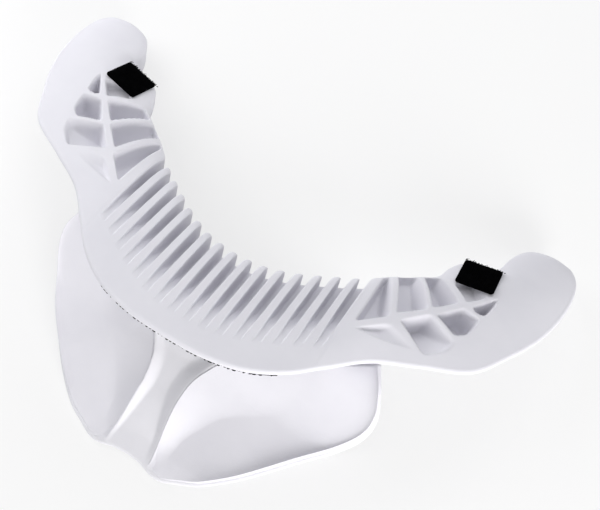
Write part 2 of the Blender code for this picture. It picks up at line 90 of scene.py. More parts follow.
def spline(rows: np.ndarray, at: np.ndarray) -> np.ndarray:
    """Catmull Rom curve through rows: a cubic in each span, its slopes half the neighbours' step.

    Args:
        rows: Points of the curve, one row each.
        at: Places along it, counted in rows.

    Returns:
        One point for each place.
    """
    rows = np.asarray(rows, dtype=float)
    knots = np.vstack([2.0 * rows[0] - rows[1], rows, 2.0 * rows[-1] - rows[-2]])
    at = np.asarray(at, dtype=float)
    span = np.clip(np.floor(at).astype(int), 0, len(rows) - 2)
    t = (at - span)[..., None]
    a, b, c, d = (knots[span + k] for k in range(4))
    bend = (2 * a - 5 * b + 4 * c - d) * t**2 + (3 * b - a - 3 * c + d) * t**3
    return 0.5 * (2 * b + (c - a) * t + bend)


def even_curve(rows: np.ndarray, shares: np.ndarray, steps: int = 24) -> np.ndarray:
    """Points at given shares of the length of the smooth curve through rows.

    Args:
        rows: Points of the curve.
        shares: Shares of its length from 0 to 1.
        steps: Samples in each span for measuring the length.

    Returns:
        One plan point for each share.
    """
    path = spline(rows, np.linspace(0.0, len(rows) - 1.0, steps * (len(rows) - 1) + 1))
    return on_path(path, shares)


def on_path(path: np.ndarray, shares: np.ndarray) -> np.ndarray:
    """Points at given shares of the length of a polyline, straight between its corners.

    Args:
        path: Corners of the polyline.
        shares: Shares of its length from 0 to 1.

    Returns:
        One plan point for each share.
    """
    steps = np.linalg.norm(np.diff(path, axis=0), axis=1)
    length = np.concatenate([[0.0], np.cumsum(steps)])
    place = np.asarray(shares) * length[-1]
    return np.column_stack([np.interp(place, length, path[:, k]) for k in (0, 1)])


def path_distance(plan: np.ndarray, path: np.ndarray) -> np.ndarray:
    """Shortest distance from plan points to a polyline: the least over its segments.

    Args:
        plan: Points with x and y in the last axis.
        path: Corners of the polyline.

    Returns:
        A distance for each point.
    """
    flat = plan.reshape(-1, 1, 2)
    start, run = path[:-1], np.diff(path, axis=0)
    share = np.clip(((flat - start) * run).sum(-1) / (run * run).sum(-1), 0.0, 1.0)
    nearest = start + share[..., None] * run
    return np.linalg.norm(flat - nearest, axis=-1).min(axis=1).reshape(plan.shape[:-1])


# Meshes


def grid_faces(rows: int, columns: int, wrap: bool = False, first: int = 0) -> np.ndarray:
    """Quads over a grid of points, each joining a point to its next row and next column.

    Args:
        rows: Points along the first direction.
        columns: Points along the second direction.
        wrap: Whether the second direction closes on itself.
        first: Number of the grid's first point.

    Returns:
        Four point numbers for each quad.
    """
    index = first + np.arange(rows * columns).reshape(rows, columns)
    if wrap:
        index = np.concatenate([index, index[:, :1]], axis=1)
    corners = (index[:-1, :-1], index[:-1, 1:], index[1:, 1:], index[1:, :-1])
    return np.stack(corners, axis=-1).reshape(-1, 4)


def ring_fan(ring: np.ndarray, centre: int) -> np.ndarray:
    """Triangles from a closed ring of points to one centre point.

    Args:
        ring: Point numbers round the ring.
        centre: Number of the centre point.

    Returns:
        Three point numbers for each triangle.
    """
    return np.stack([ring, np.roll(ring, -1), np.full_like(ring, centre)], axis=-1)


def triangles(faces: list[np.ndarray]) -> np.ndarray:
    """Split faces of three or four corners into triangles.

    Args:
        faces: Arrays of faces, each array with one number of corners.

    Returns:
        Three point numbers for each triangle.
    """
    parts = [part[:, :3] for part in faces] + [part[:, [0, 2, 3]] for part in faces if part.shape[1] == 4]
    return np.concatenate(parts)


def turned_out(points: np.ndarray, faces: list[np.ndarray]) -> list[np.ndarray]:
    """Turn a closed shell outwards: the sum of a . (b x c) over its triangles is its volume times six.

    Args:
        points: Points of the shell.
        faces: Its faces.

    Returns:
        The faces, reversed where that volume is negative.
    """
    a, b, c = np.moveaxis(points[triangles(faces)], 1, 0)
    volume = (a * np.cross(b, c)).sum()
    return faces if volume > 0.0 else [part[:, ::-1] for part in faces]


def tube_shell(rings: np.ndarray) -> tuple[np.ndarray, list[np.ndarray]]:
    """Closed skin over rings of points, with a fan to the middle of the first and of the last ring.

    Args:
        rings: Points in the order ring, place round the ring, coordinate.

    Returns:
        The points and the faces.
    """
    count, size = rings.shape[:2]
    points = np.concatenate([rings.reshape(-1, 3), rings[:1].mean(axis=1), rings[-1:].mean(axis=1)])
    near = np.arange(size)[::-1]
    far = np.arange(size) + (count - 1) * size
    caps = [ring_fan(near, count * size), ring_fan(far, count * size + 1)]
    return points, turned_out(points, [grid_faces(count, size, wrap=True), *caps])


def slab_shell(upper: np.ndarray, lower: np.ndarray) -> tuple[np.ndarray, list[np.ndarray]]:
    """Closed skin over two facing grids, with a strip of quads round their common border.

    Args:
        upper: Grid of points of the upper face.
        lower: Grid of the same shape below it.

    Returns:
        The points and the faces.
    """
    rows, columns = upper.shape[:2]
    size = rows * columns
    points = np.concatenate([upper.reshape(-1, 3), lower.reshape(-1, 3)])
    index = np.arange(size).reshape(rows, columns)
    loop = np.concatenate([index[0, :-1], index[:-1, -1], index[-1, :0:-1], index[:0:-1, 0]])
    after = np.roll(loop, -1)
    border = np.stack([after, loop, loop + size, after + size], axis=-1)
    faces = [grid_faces(rows, columns), grid_faces(rows, columns, first=size)[:, ::-1], border]
    return points, turned_out(points, faces)


def joined(*shells: tuple[np.ndarray, list[np.ndarray]]) -> tuple[np.ndarray, list[np.ndarray]]:
    """Put several shells into one set of points and faces.

    Args:
        shells: Points and faces of each shell.

    Returns:
        All the points, and the faces renumbered to them.
    """
    points, faces, count = [], [], 0
    for shell_points, shell_faces in shells:
        points.append(shell_points)
        faces.extend(part + count for part in shell_faces)
        count += len(shell_points)
    return np.concatenate(points), faces


def add_piece(
    name: str, shell: tuple[np.ndarray, list[np.ndarray]], finish: bpy.types.Material
) -> bpy.types.Object:
    """Make a smooth shaded object at the origin from a shell.

    Args:
        name: Name of the piece.
        shell: Its points and faces.
        finish: Its material.

    Returns:
        The new object.
    """
    points, faces = shell
    mesh = bpy.data.meshes.new(name)
    corners = [row for part in faces for row in part.tolist()]
    mesh.from_pydata(points.tolist(), [], corners)
    mesh.validate()
    mesh.shade_smooth()
    mesh.materials.append(finish)
    piece = bpy.data.objects.new(name, mesh)
    bpy.context.scene.collection.objects.link(piece)
    return piece


def settle(piece: bpy.types.Object, body: Body, node: str) -> None:
    """Ride a piece on its body in place of its CAD node and log it.

    Args:
        piece: The dressed piece.
        body: The body that carries it.
        node: The CAD node that it stands for.
    """
    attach(piece, body.value)
    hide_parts(node)
    LOG.info("%s: %d faces on %s", piece.name, len(piece.data.polygons), body.value)


# Finishes


class NodeBench:
    """A material's node tree with short calls for adding and joining nodes."""

    def __init__(self, name: str) -> None:
        """Start a material with its Principled shader.

        Args:
            name: Name of the material.
        """
        self.material = bpy.data.materials.new(name)
        self.material.use_nodes = True
        self.tree = self.material.node_tree
        self.shader = self.tree.nodes["Principled BSDF"]

    def node(self, kind: str, **values: object) -> bpy.types.Node:
        """Add a node and set its inputs and options.

        Args:
            kind: Blender's type name of the node.
            values: Values by input name or option name, with underscores for spaces.

        Returns:
            The new node.
        """
        made = self.tree.nodes.new(kind)
        for key, value in values.items():
            if hasattr(made, key):
                setattr(made, key, value)
            else:
                made.inputs[key.replace("_", " ")].default_value = value
        return made

    def join(self, source: bpy.types.NodeSocket, target: bpy.types.NodeSocket) -> None:
        """Link an output to an input."""
        self.tree.links.new(source, target)

    def noise(self, scale: float, detail: float, roughness: float = 0.5) -> bpy.types.NodeSocket:
        """Add noise on Object coordinates and give its value.

        Args:
            scale: Waves in a metre.
            detail: Octaves.
            roughness: Share of each octave that the next one keeps.

        Returns:
            The noise's value socket.
        """
        place = self.node("ShaderNodeTexCoord")
        noise = self.node("ShaderNodeTexNoise", Scale=scale, Detail=detail, Roughness=roughness)
        self.join(place.outputs["Object"], noise.inputs["Vector"])
        return noise.outputs["Fac"]

    def spread(
        self, source: bpy.types.NodeSocket, between: tuple[float, float], to: tuple[float, float]
    ) -> bpy.types.NodeSocket:
        """Map a range of a value to another range.

        Args:
            source: The value.
            between: The two values that give the two results.
            to: The two results.

        Returns:
            The mapped value's socket.
        """
        (low, high), (first, last) = between, to
        span = self.node("ShaderNodeMapRange", From_Min=low, From_Max=high, To_Min=first, To_Max=last)
        self.join(source, span.inputs["Value"])
        return span.outputs["Result"]

    def tint(
        self, source: bpy.types.NodeSocket, first: tuple[float, ...], second: tuple[float, ...]
    ) -> bpy.types.NodeSocket:
        """Mix two colours by a value.

        Args:
            source: Share of the second colour.
            first: Colour at 0.
            second: Colour at 1.

        Returns:
            The mixed colour's socket.
        """
        mix = self.node("ShaderNodeMix", data_type="RGBA")
        sockets = [socket for socket in mix.inputs if socket.type == "RGBA"]
        sockets[0].default_value = (*first, 1.0)
        sockets[1].default_value = (*second, 1.0)
        self.join(source, mix.inputs["Factor"])
        return next(socket for socket in mix.outputs if socket.type == "RGBA")

    def bump(self, source: bpy.types.NodeSocket, strength: float, distance: float) -> None:
        """Press a value into the shader's normal, over any bump that is there already.

        Args:
            source: Height of the relief.
            strength: Share of the relief that shows.
            distance: Full height of the relief.
        """
        press = self.node("ShaderNodeBump", Strength=strength, Distance=distance)
        self.join(source, press.inputs["Height"])
        links = self.shader.inputs["Normal"].links
        if links:
            self.join(links[0].from_socket, press.inputs["Normal"])
        self.join(press.outputs["Normal"], self.shader.inputs["Normal"])


@dataclass(frozen=True)
class FoamFinish:
    """Moulded foam with a fine matt skin, faint clouds of shade and a shallow grain."""

    name: str
    light: tuple[float, float, float]
    shade: tuple[float, float, float]
    roughness: tuple[float, float] = (0.52, 0.68)
    cloud_scale: float = 38.0
    cloud_detail: float = 3.0
    cloud_blend: float = 0.55
    cloud_range: tuple[float, float] = (0.32, 0.68)
    skin_scale: float = 260.0
    skin_detail: float = 2.0
    skin_height: float = 0.00016
    skin_strength: float = 0.35
    grain_scale: float = 1500.0
    grain_detail: float = 2.0
    grain_blend: float = 0.6
    grain_range: tuple[float, float] = (0.3, 0.7)
    grain_height: float = 0.00009
    grain_strength: float = 0.4
    gloss: float = 0.35

    def material(self) -> bpy.types.Material:
        """Build the foam: clouds mix the colours, noise sets the roughness, two noises press the skin.

        Returns:
            The material.
        """
        bench = NodeBench(self.name)
        cloud = bench.noise(self.cloud_scale, self.cloud_detail, self.cloud_blend)
        cloud = bench.spread(cloud, self.cloud_range, (0.0, 1.0))
        bench.join(bench.tint(cloud, self.light, self.shade), bench.shader.inputs["Base Color"])
        skin = bench.noise(self.skin_scale, self.skin_detail)
        grain = bench.noise(self.grain_scale, self.grain_detail, self.grain_blend)
        matt = bench.spread(grain, self.grain_range, self.roughness)
        bench.join(matt, bench.shader.inputs["Roughness"])
        bench.bump(skin, self.skin_strength, self.skin_height)
        bench.bump(grain, self.grain_strength, self.grain_height)
        bench.shader.inputs["Specular IOR Level"].default_value = self.gloss
        return bench.material


@dataclass(frozen=True)
class TapeFinish:
    """Black touch tape: a crossed weave of fine yarns with dusty, uneven yarn colour."""

    name: str
    yarn: tuple[float, float, float]
    dust: tuple[float, float, float]
    dust_scale: float = 420.0
    dust_detail: float = 4.0
    dust_blend: float = 0.6
    dust_range: tuple[float, float] = (0.45, 0.75)
    weave_scale: float = 150.0
    weave_strength: float = 0.6
    relief: float = 0.00015
    roughness: float = 0.92
    gloss: float = 0.12

    def material(self) -> bpy.types.Material:
        """Build the tape: two wave textures at right angles make the weave, noise varies the yarn.

        Returns:
            The material.
        """
        bench = NodeBench(self.name)
        dust = bench.noise(self.dust_scale, self.dust_detail, self.dust_blend)
        dust = bench.spread(dust, self.dust_range, (0.0, 1.0))
        bench.join(bench.tint(dust, self.yarn, self.dust), bench.shader.inputs["Base Color"])
        place = bench.node("ShaderNodeTexCoord")
        product = bench.node("ShaderNodeMath", operation="MULTIPLY")
        for axis, socket in zip(("X", "Y"), product.inputs):
            wave = bench.node("ShaderNodeTexWave", bands_direction=axis, Scale=self.weave_scale)
            bench.join(place.outputs["Object"], wave.inputs["Vector"])
            bench.join(wave.outputs["Fac"], socket)
        bench.bump(product.outputs["Value"], self.weave_strength, self.relief)
        bench.shader.inputs["Roughness"].default_value = self.roughness
        bench.shader.inputs["Specular IOR Level"].default_value = self.gloss
        return bench.material


PAD_FOAM = FoamFinish("pad_foam", (0.775, 0.768, 0.815), (0.745, 0.738, 0.788))
LINER_FOAM = FoamFinish("liner_foam", (0.80, 0.795, 0.835), (0.77, 0.765, 0.805), gloss=0.25)
HOOK_TAPE = TapeFinish("hook_tape", (0.0006, 0.0006, 0.0008), (0.0022, 0.0022, 0.0026), gloss=0.01)
LOOP_TAPE = TapeFinish("loop_tape", (0.006, 0.006, 0.007), (0.016, 0.016, 0.018), weave_scale=700.0 / 6.0)


# Places


@dataclass(frozen=True)
class Stance:
    """The collar's lean, the place of collar and bib on the table, and the skew of the bib's sides."""

    lean: float = math.radians(24.0)
    back: float = 0.0091005
    lift: float = 0.0553937
    skew: float = 0.0045
    skew_across: tuple[float, float] = (0.0250, 0.0350)
    skew_along: tuple[float, float] = (-0.0700, 0.0360)

    def collar(self, points: np.ndarray) -> np.ndarray:
        """Collar frame to table: turn about X by the lean, then move back and up.

        Args:
            points: Points in the collar's frame.

        Returns:
            The points over the table.
        """
        c, s = math.cos(self.lean), math.sin(self.lean)
        x, y, z = np.moveaxis(points, -1, 0)
        return np.stack([x, y * c + z * s + self.back, z * c - y * s + self.lift], axis=-1)

    def bib(self, plan: np.ndarray, height: np.ndarray) -> np.ndarray:
        """Plan points and heights of the bib as points over the table, moved back by the stance.

        The soft sides lie a little askew: they shift across by ramps of the way out and of the way back.

        Args:
            plan: Plan points with y from the collar's origin.
            height: Heights over the table.

        Returns:
            The points.
        """
        x, y = plan[..., 0], plan[..., 1]
        aside = ramp((np.abs(x) - self.skew_across[0]) / self.skew_across[1])
        aside = aside * ramp((y - self.skew_along[0]) / self.skew_along[1])
        return np.stack([x + self.skew * aside, y + self.back, height], axis=-1)


@dataclass(frozen=True)
class TabSeat:
    """The tilted square seat of a hook tab near each tip, in the collar's frame."""

    size: float = 0.0200
    corner: float = 0.0015
    centre: tuple[float, float, float] = (0.1061, 0.0606, 0.0021)
    turn: float = math.radians(2.5)
    tilt: float = math.radians(14.0)
    uphill: float = math.radians(-35.0)
    gap: float = 0.0003
    margin: float = 0.0008
    shoulder_slope: float = 0.9

    def frame(self, side: Side) -> np.ndarray:
        """Tab frame to collar frame: a turn about Z, a tilt towards uphill and a move to the centre.

        Args:
            side: Which tip.

        Returns:
            The four by four matrix.
        """
        uphill = self.uphill if side is Side.RIGHT else math.pi - self.uphill
        axis = Vector((math.sin(uphill), -math.cos(uphill), 0.0))
        place = Matrix.Translation((side.value * self.centre[0], *self.centre[1:]))
        turn = Matrix.Rotation(side.value * self.turn, 4, "Z")
        return np.array(place @ Matrix.Rotation(self.tilt, 4, axis) @ turn)

    def ceiling(self, plan: np.ndarray) -> np.ndarray:
        """Highest the pad may stand: the seat's plane, rising with a slope outside the tab's square.

        Args:
            plan: Plan points of the right side.

        Returns:
            A height for each point.
        """
        frame = self.frame(Side.RIGHT)
        normal, centre = frame[:3, 2], frame[:3, 3]
        away = plan - centre[:2]
        plane = centre[2] - (away @ normal[:2]) / normal[2]
        along = np.stack([away @ frame[:2, 0], away @ frame[:2, 1]], axis=-1)
        beyond = np.abs(along).max(axis=-1) - 0.5 * self.size - self.margin
        return plane - self.gap + self.shoulder_slope * np.maximum(beyond, 0.0)


# Collar


@dataclass(frozen=True)
class Cell:
    """An open cell in the pad's top: corners, the floor's height under the second one, and its tilt."""

    corners: tuple[tuple[float, float], ...]
    floor: float = -0.0088
    tilt: tuple[float, float] = (0.0, 0.0)
    slope: float = 0.0046
    wall: float = 0.0021
    corner: float = 0.0005
    grow: float = 0.0008
    outside: float = -0.0200
    tip_heading: tuple[float, float] = (0.68, 0.73)
    tip_facing: tuple[float, float] = (0.35, 0.5)

    def share(self, plan: np.ndarray) -> np.ndarray:
        """Share of the cell's depth: 0 outside, easing to 1 over the wall.

        The distance from the walls is a soft least over the edges, which rounds the corners. Below edges
        that face the tip a second, longer easing makes a slope.

        Args:
            plan: Plan points.

        Returns:
            The share at each point.
        """
        corners = np.array(self.corners)
        run = np.roll(corners, -1, axis=0) - corners
        inward = np.stack([-run[:, 1], run[:, 0]], axis=-1) / np.linalg.norm(run, axis=1)[:, None]
        inward *= np.sign(((corners.mean(axis=0) - corners) * inward).sum(-1))[:, None]
        inside = np.maximum(((plan[..., None, :] - corners) * inward).sum(-1), self.outside)
        least = self.grow - self.corner * np.log(np.exp(-inside / self.corner).sum(-1))
        facing = -(inward @ np.array(self.tip_heading))
        towards_tip = ramp((facing - self.tip_facing[0]) / self.tip_facing[1])
        slopes = 1.0 - towards_tip * (1.0 - ramp((inside + self.grow) / self.slope))
        return ramp(least / self.wall) * slopes.prod(-1)

    def sunk(self, plan: np.ndarray, height: np.ndarray) -> np.ndarray:
        """Lower heights to the cell's floor, a plane through the floor's height under the second corner.

        Args:
            plan: Plan points.
            height: Heights without the cell.

        Returns:
            The heights with the cell.
        """
        floor = self.floor + (plan - np.array(self.corners[1])) @ np.array(self.tilt)
        floor = np.minimum(floor, height)
        return height + (floor - height) * self.share(plan)


@dataclass
class CollarPad:
    """The U shaped pad: fins along its front, open cells on its arms, plain tips."""

    stance: Stance
    seat: TabSeat
    depth: float = 0.0125
    lip_depth: float = 0.0030
    lip_round: float = 0.0020
    undercut: float = 0.0115
    undercut_shoulder: float = 0.15
    narrow_share: float = 0.3
    chamfer: float = 0.0010
    full_form_width: float = 0.0400
    front_nose: tuple[float, float] = (0.17, 0.0052)
    arm_nose: tuple[float, float] = (0.42, 0.0045)
    tip_nose: tuple[float, float] = (0.18, 0.0020)
    tip_stations: tuple[float, float] = (9.8, 1.6)
    front_crown: float = 0.0018
    arm_crown: float = 0.0042
    front_stations: tuple[float, float] = (3.0, 2.0)
    tip_round: float = 0.0040
    tip_reach: float = 0.0014
    stations: tuple[tuple[float, float, float, float], ...] = (
        (0.0000, 0.0005, 0.0000, -0.0615),
        (0.0150, 0.0025, 0.0190, -0.0605),
        (0.0300, 0.0090, 0.0380, -0.0555),
        (0.0450, 0.0185, 0.0540, -0.0455),
        (0.0580, 0.0275, 0.0670, -0.0325),
        (0.0690, 0.0375, 0.0830, -0.0165),
        (0.0790, 0.0455, 0.1030, -0.0050),
        (0.0880, 0.0530, 0.1245, 0.0075),
        (0.0910, 0.0620, 0.1365, 0.0260),
        (0.0960, 0.0700, 0.1450, 0.0430),
        (0.1060, 0.0735, 0.1498, 0.0580),
        (0.1130, 0.0775, 0.1522, 0.0720),
        (0.1150, 0.0850, 0.1527, 0.0845),
        (0.1175, 0.0920, 0.1510, 0.0940),
        (0.1220, 0.0980, 0.1465, 0.1000),
        (0.1285, 0.1018, 0.1395, 0.1028),
    )
    grooves: int = 8
    groove_pitch: float = 0.00788
    groove_width: float = 0.0047
    groove_end_width: float = 0.0042
    groove_depth: float = 0.0098
    groove_length: float = 0.0560
    groove_fall: tuple[tuple[float, float], ...] = (
        (0.0, 1.0),
        (0.32, 0.96),
        (0.46, 0.80),
        (0.56, 0.50),
        (0.64, 0.25),
        (0.72, 0.12),
        (0.93, 0.06),
        (1.0, 0.0),
    )
    groove_soften: float = 0.05
    groove_wall: float = 0.6
    groove_floor_share: float = 0.72
    scallop: float = 0.0017
    fin_round: float = 0.0011
    cells: tuple[Cell, ...] = (
        Cell(
            ((0.0674, -0.0023), (0.0789, 0.0094), (0.0690, 0.0360), (0.0669, 0.0333)),
            -0.0064,
            (0.0, -0.12),
        ),
        Cell(((0.0813, 0.0139), (0.0923, 0.0250), (0.0805, 0.0460), (0.0722, 0.0395))),
        Cell(((0.0943, 0.0279), (0.1038, 0.0384), (0.0905, 0.0509), (0.0837, 0.0468))),
        Cell(((0.1070, 0.0414), (0.1148, 0.0508), (0.1045, 0.0610), (0.0977, 0.0494)), -0.0012),
        Cell(((0.1112, 0.0396), (0.1192, 0.0512), (0.1186, 0.0435), (0.1168, 0.0388), (0.1130, 0.0382))),
        Cell(((0.0986, 0.0242), (0.1072, 0.0360), (0.1160, 0.0346), (0.1138, 0.0234), (0.1094, 0.0197))),
        Cell(
            ((0.0854, 0.0102), (0.0954, 0.0220), (0.1106, 0.0156), (0.1090, 0.0090), (0.1015, 0.0018)),
            -0.0074,
            (0.40, -0.18),
        ),
        Cell(((0.0690, -0.0070), (0.0817, 0.0050), (0.1010, 0.0)), -0.0012, (0.084, -0.356), 0.0070),
    )
    under_lip: tuple[tuple[float, float], ...] = ((0.25, 0.5), (0.6, 0.85))
    narrow_chamfer: float = 0.1
    least_width: float = 0.00001
    top_rows: int = 124
    top_spread: float = 1.2
    lip_rows: int = 8
    wall_rows: int = 9
    foot_rows: int = 8
    inner_rows: int = 8
    edge_steps: int = 1501
    arm_columns: int = 240
    tip_columns: int = 9
    pitch_places: tuple[float, ...] = (
        -1.0, -0.88, -0.76, -0.68, -0.62, -0.58, -0.54, -0.49, -0.44, -0.32, -0.16,
        0.0, 0.16, 0.32, 0.44, 0.49, 0.54, 0.58, 0.62, 0.68, 0.76, 0.88,
    )

    def edge_tables(self) -> tuple[np.ndarray, np.ndarray, np.ndarray]:
        """Fine tables of the inner and outer edge curves, with their stations.

        Returns:
            Stations, inner edge points and outer edge points.
        """
        at = np.linspace(0.0, len(self.stations) - 1.0, self.edge_steps)
        curve = spline(np.array(self.stations), at)
        return at, curve[:, :2], curve[:, 2:]

    def groove_half_width(self, run: np.ndarray) -> np.ndarray:
        """Half width of a groove at a run, narrowing evenly from the mouth to the far end.

        Args:
            run: Distance from the mouth over the groove's length.

        Returns:
            The half width at each run.
        """
        run = np.clip(run, 0.0, 1.0)
        return 0.5 * (self.groove_width + (self.groove_end_width - self.groove_width) * run)

    def groove_share(self, place: np.ndarray) -> np.ndarray:
        """Share of a groove's depth across the pitch: 1 on the floor, easing to 0 at the fin.

        Args:
            place: Place across the pitch, 0 in the groove's middle and 1 or -1 in the middle of a fin.

        Returns:
            The share at each place.
        """
        foot = self.groove_wall * self.groove_floor_share
        return ramp((self.groove_wall - np.abs(place)) / (self.groove_wall - foot))

    def front_edges(self, share: np.ndarray) -> tuple[np.ndarray, ...]:
        """Edge points of the front columns, which follow the grooves' walls and so lie along Y.

        Across each pitch a column keeps its place on the floor, the wall or the fin, so its x is the
        groove's middle plus that place stretched to the groove's width at its run. The inner edge is cut
        back by a scallop in the groove, and falls back from the fin's middle as a quarter ellipse.

        Args:
            share: Share of the way from the inner to the outer edge for every column and row.

        Returns:
            Inner points, outer points, stations, groove runs and places across the pitch.
        """
        at, inner, outer = self.edge_tables()
        place = np.tile(self.pitch_places, self.grooves)
        middle = self.groove_pitch * (np.repeat(np.arange(self.grooves), len(self.pitch_places)) + 0.5)
        start = np.interp(middle, inner[:, 0], inner[:, 1])
        width = start - np.interp(middle, outer[:, 0], outer[:, 1])
        run = share * (width / self.groove_length)[:, None]
        half = self.groove_half_width(run)
        rest = 0.5 * self.groove_pitch - half
        off = np.abs(place)[:, None]
        on_groove = half * off / self.groove_wall
        on_fin = half + rest * (off - self.groove_wall) / (1.0 - self.groove_wall)
        stretched = np.where(off <= self.groove_wall, on_groove, on_fin)
        x = middle[:, None] + np.sign(place)[:, None] * stretched
        aside = np.clip((1.0 - off) / (1.0 - self.groove_wall), 0.0, 1.0)
        rounding = self.fin_round * (1.0 - np.sqrt(1.0 - aside**2))
        scallop = self.scallop * self.groove_share(place)[:, None] + rounding
        near = np.stack([x, np.interp(x, inner[:, 0], inner[:, 1]) - scallop], axis=-1)
        far = np.stack([x, np.interp(x, outer[:, 0], outer[:, 1])], axis=-1)
        first = np.interp(x, inner[:, 0], at)
        station = first + (np.interp(x, outer[:, 0], at) - first) * share
        return near, far, station, run, np.broadcast_to(place[:, None], run.shape)

    def arm_edges(self) -> tuple[np.ndarray, np.ndarray, np.ndarray]:
        """Edge points of the arm columns, which fan from the last fin to the tip and close round it.

        Along the arm both edges advance evenly in their stations. Round the tip the two points swing along
        a quarter ellipse to their common middle.

        Returns:
            Inner points, outer points and stations.
        """
        at, inner, outer = self.edge_tables()
        x = self.grooves * self.groove_pitch
        last = len(self.stations) - 1.0
        along = np.linspace(0.0, 1.0, self.arm_columns)
        begin = np.array([np.interp(x, edge[:, 0], at) for edge in (inner, outer)])
        station = begin + (last - begin) * along[:, None]
        table = np.array(self.stations)
        near = spline(table[:, :2], station[:, 0])
        far = spline(table[:, 2:], station[:, 1])
        swing = np.linspace(0.0, 0.5 * math.pi, self.tip_columns + 1)[1:, None]
        middle = 0.5 * (near[-1] + far[-1])
        across = far[-1] - near[-1]
        ahead = np.array([-across[1], across[0]]) / np.linalg.norm(across)
        ahead_move = middle + ahead * self.tip_reach * np.sin(swing)
        near = np.concatenate([near, ahead_move + (near[-1] - middle) * np.cos(swing)])
        far = np.concatenate([far, ahead_move + (far[-1] - middle) * np.cos(swing)])
        return near, far, np.concatenate([station.mean(axis=1), np.full(self.tip_columns, last)])

    def plain_top(self, share: np.ndarray, width: np.ndarray, station: np.ndarray) -> np.ndarray:
        """Height of the top face without fins and cells.

        A sine crown stands over the width and a quarter ellipse falls away to the inner edge. Both change
        from the front's form to the arm's along the stations and shrink where the collar is narrow, and the
        ellipse changes once more to the tip's.

        Args:
            share: Share of the way from the inner to the outer edge.
            width: Width of each column.
            station: Stations.

        Returns:
            The height at each point.
        """
        front = 1.0 - ramp((station - self.front_stations[0]) / self.front_stations[1])
        form = np.minimum(1.0, width / self.full_form_width)
        crown = form * (self.arm_crown + (self.front_crown - self.arm_crown) * front)
        reach = self.arm_nose[0] + (self.front_nose[0] - self.arm_nose[0]) * front
        fall = form * (self.arm_nose[1] + (self.front_nose[1] - self.arm_nose[1]) * front)
        tip = ramp((station - self.tip_stations[0]) / self.tip_stations[1])
        reach = reach + (self.tip_nose[0] - reach) * tip
        fall = fall + (form * self.tip_nose[1] - fall) * tip
        bend = 1.0 - np.minimum(share / reach, 1.0)
        return crown * np.sin(math.pi * share) - fall * (1.0 - np.sqrt(1.0 - bend * bend))

    def groove_floor(self, run: np.ndarray) -> np.ndarray:
        """Height of a groove's floor: the full depth at the mouth, rising along a softened table.

        Args:
            run: Distance from the mouth over the groove's length.

        Returns:
            The height at each run.
        """
        table = np.array(self.groove_fall)
        steps = self.groove_soften * np.array([-1.0, 0.0, 0.0, 1.0])
        soft = sum(np.interp(run + step, table[:, 0], table[:, 1]) for step in steps) / len(steps)
        return self.front_crown * run - self.groove_depth * soft

    def celled(self, plan: np.ndarray, height: np.ndarray) -> np.ndarray:
        """Sink the cells and the tab's seat into the top face.

        Args:
            plan: Plan points of the right side.
            height: Plain heights.

        Returns:
            The heights with the cells.
        """
        for cell in self.cells:
            height = cell.sunk(plan, height)
        return np.minimum(height, self.seat.ceiling(plan))

    def half_rings(self) -> np.ndarray:
        """Section rings of the right half from the middle to the tip.

        Each ring runs over the top from the inner edge, round the lip, down the undercut, back along the
        foot and up the inner wall. Close to the tip's end the top drops as a quarter ellipse.

        Returns:
            Points in the collar's frame.
        """
        near_arm, far_arm, station_arm = self.arm_edges()
        front_share = np.zeros((self.grooves * len(self.pitch_places), 1))
        near, far = self.front_edges(front_share)[:2]
        width = np.concatenate([(near - far)[:, 0, 1], np.linalg.norm(far_arm - near_arm, axis=1)])
        width = np.maximum(width, self.least_width)[:, None]
        lip = np.minimum(self.lip_round / width, self.narrow_share)
        inset = np.minimum(self.undercut / width, self.narrow_share)
        chamfer = np.minimum(self.chamfer / width, self.narrow_chamfer)
        turn = np.linspace(0.0, 0.5 * math.pi, self.lip_rows)[1:]
        under_share, under_drop = np.array(self.under_lip).T
        down = np.linspace(0.0, 1.0, self.wall_rows)
        back = np.linspace(0.0, 1.0, self.foot_rows)
        inner = np.linspace(0.0, 1.0, self.inner_rows)[:-1]
        shares = [
            (1.0 - lip) * np.linspace(0.0, 1.0, self.top_rows) ** self.top_spread,
            1.0 - lip * (1.0 - np.sin(turn)),
            1.0 - inset * self.undercut_shoulder * under_share,
            1.0 - inset * (self.undercut_shoulder + (1.0 - self.undercut_shoulder) * down),
            1.0 - inset - chamfer + (2.0 * chamfer + inset - 1.0) * back,
            np.zeros((len(width), len(inner))),
        ]
        share = np.concatenate(shares, axis=1)
        count = len(front_share)
        near, far, station, run, place = self.front_edges(share[:count])
        plan = np.concatenate([near + (far - near) * share[:count, :, None],
                               near_arm[:, None] + (far_arm - near_arm)[:, None] * share[count:, :, None]])
        station = np.concatenate([station, np.broadcast_to(station_arm[:, None], share[count:].shape)])
        top = self.top_rows
        height = self.plain_top(share[:, :top], width, station[:, :top])
        floor = np.minimum(self.groove_floor(run[:, :top]), height[:count])
        height[:count] += (floor - height[:count]) * self.groove_share(place[:, :top])
        height[count:] = self.celled(plan[count:, :top], height[count:])
        ends = plan[:, [0, top - 1], 1].mean(axis=1)
        tip_y = np.array(self.stations)[-1, [1, 3]].mean()
        tip = 1.0 - np.clip((tip_y - ends) / self.tip_round, 0.0, 1.0)[:, None]
        drop = self.lip_depth * (1.0 - np.sqrt(1.0 - tip * tip))
        height = height - drop
        edge = height[:, -1:]
        foot = np.full_like(width, self.chamfer - self.depth)
        shoulder = edge - self.lip_depth
        heights = [
            height,
            edge - self.lip_round * (1.0 - np.cos(turn)),
            edge - self.lip_round - (self.lip_depth - self.lip_round) * under_drop,
            shoulder + (foot - shoulder) * down,
            np.full((len(width), len(back)), -self.depth),
            foot + (height[:, :1] - foot) * inner,
        ]
        return np.concatenate([plan, np.concatenate(heights, axis=1)[..., None]], axis=-1)

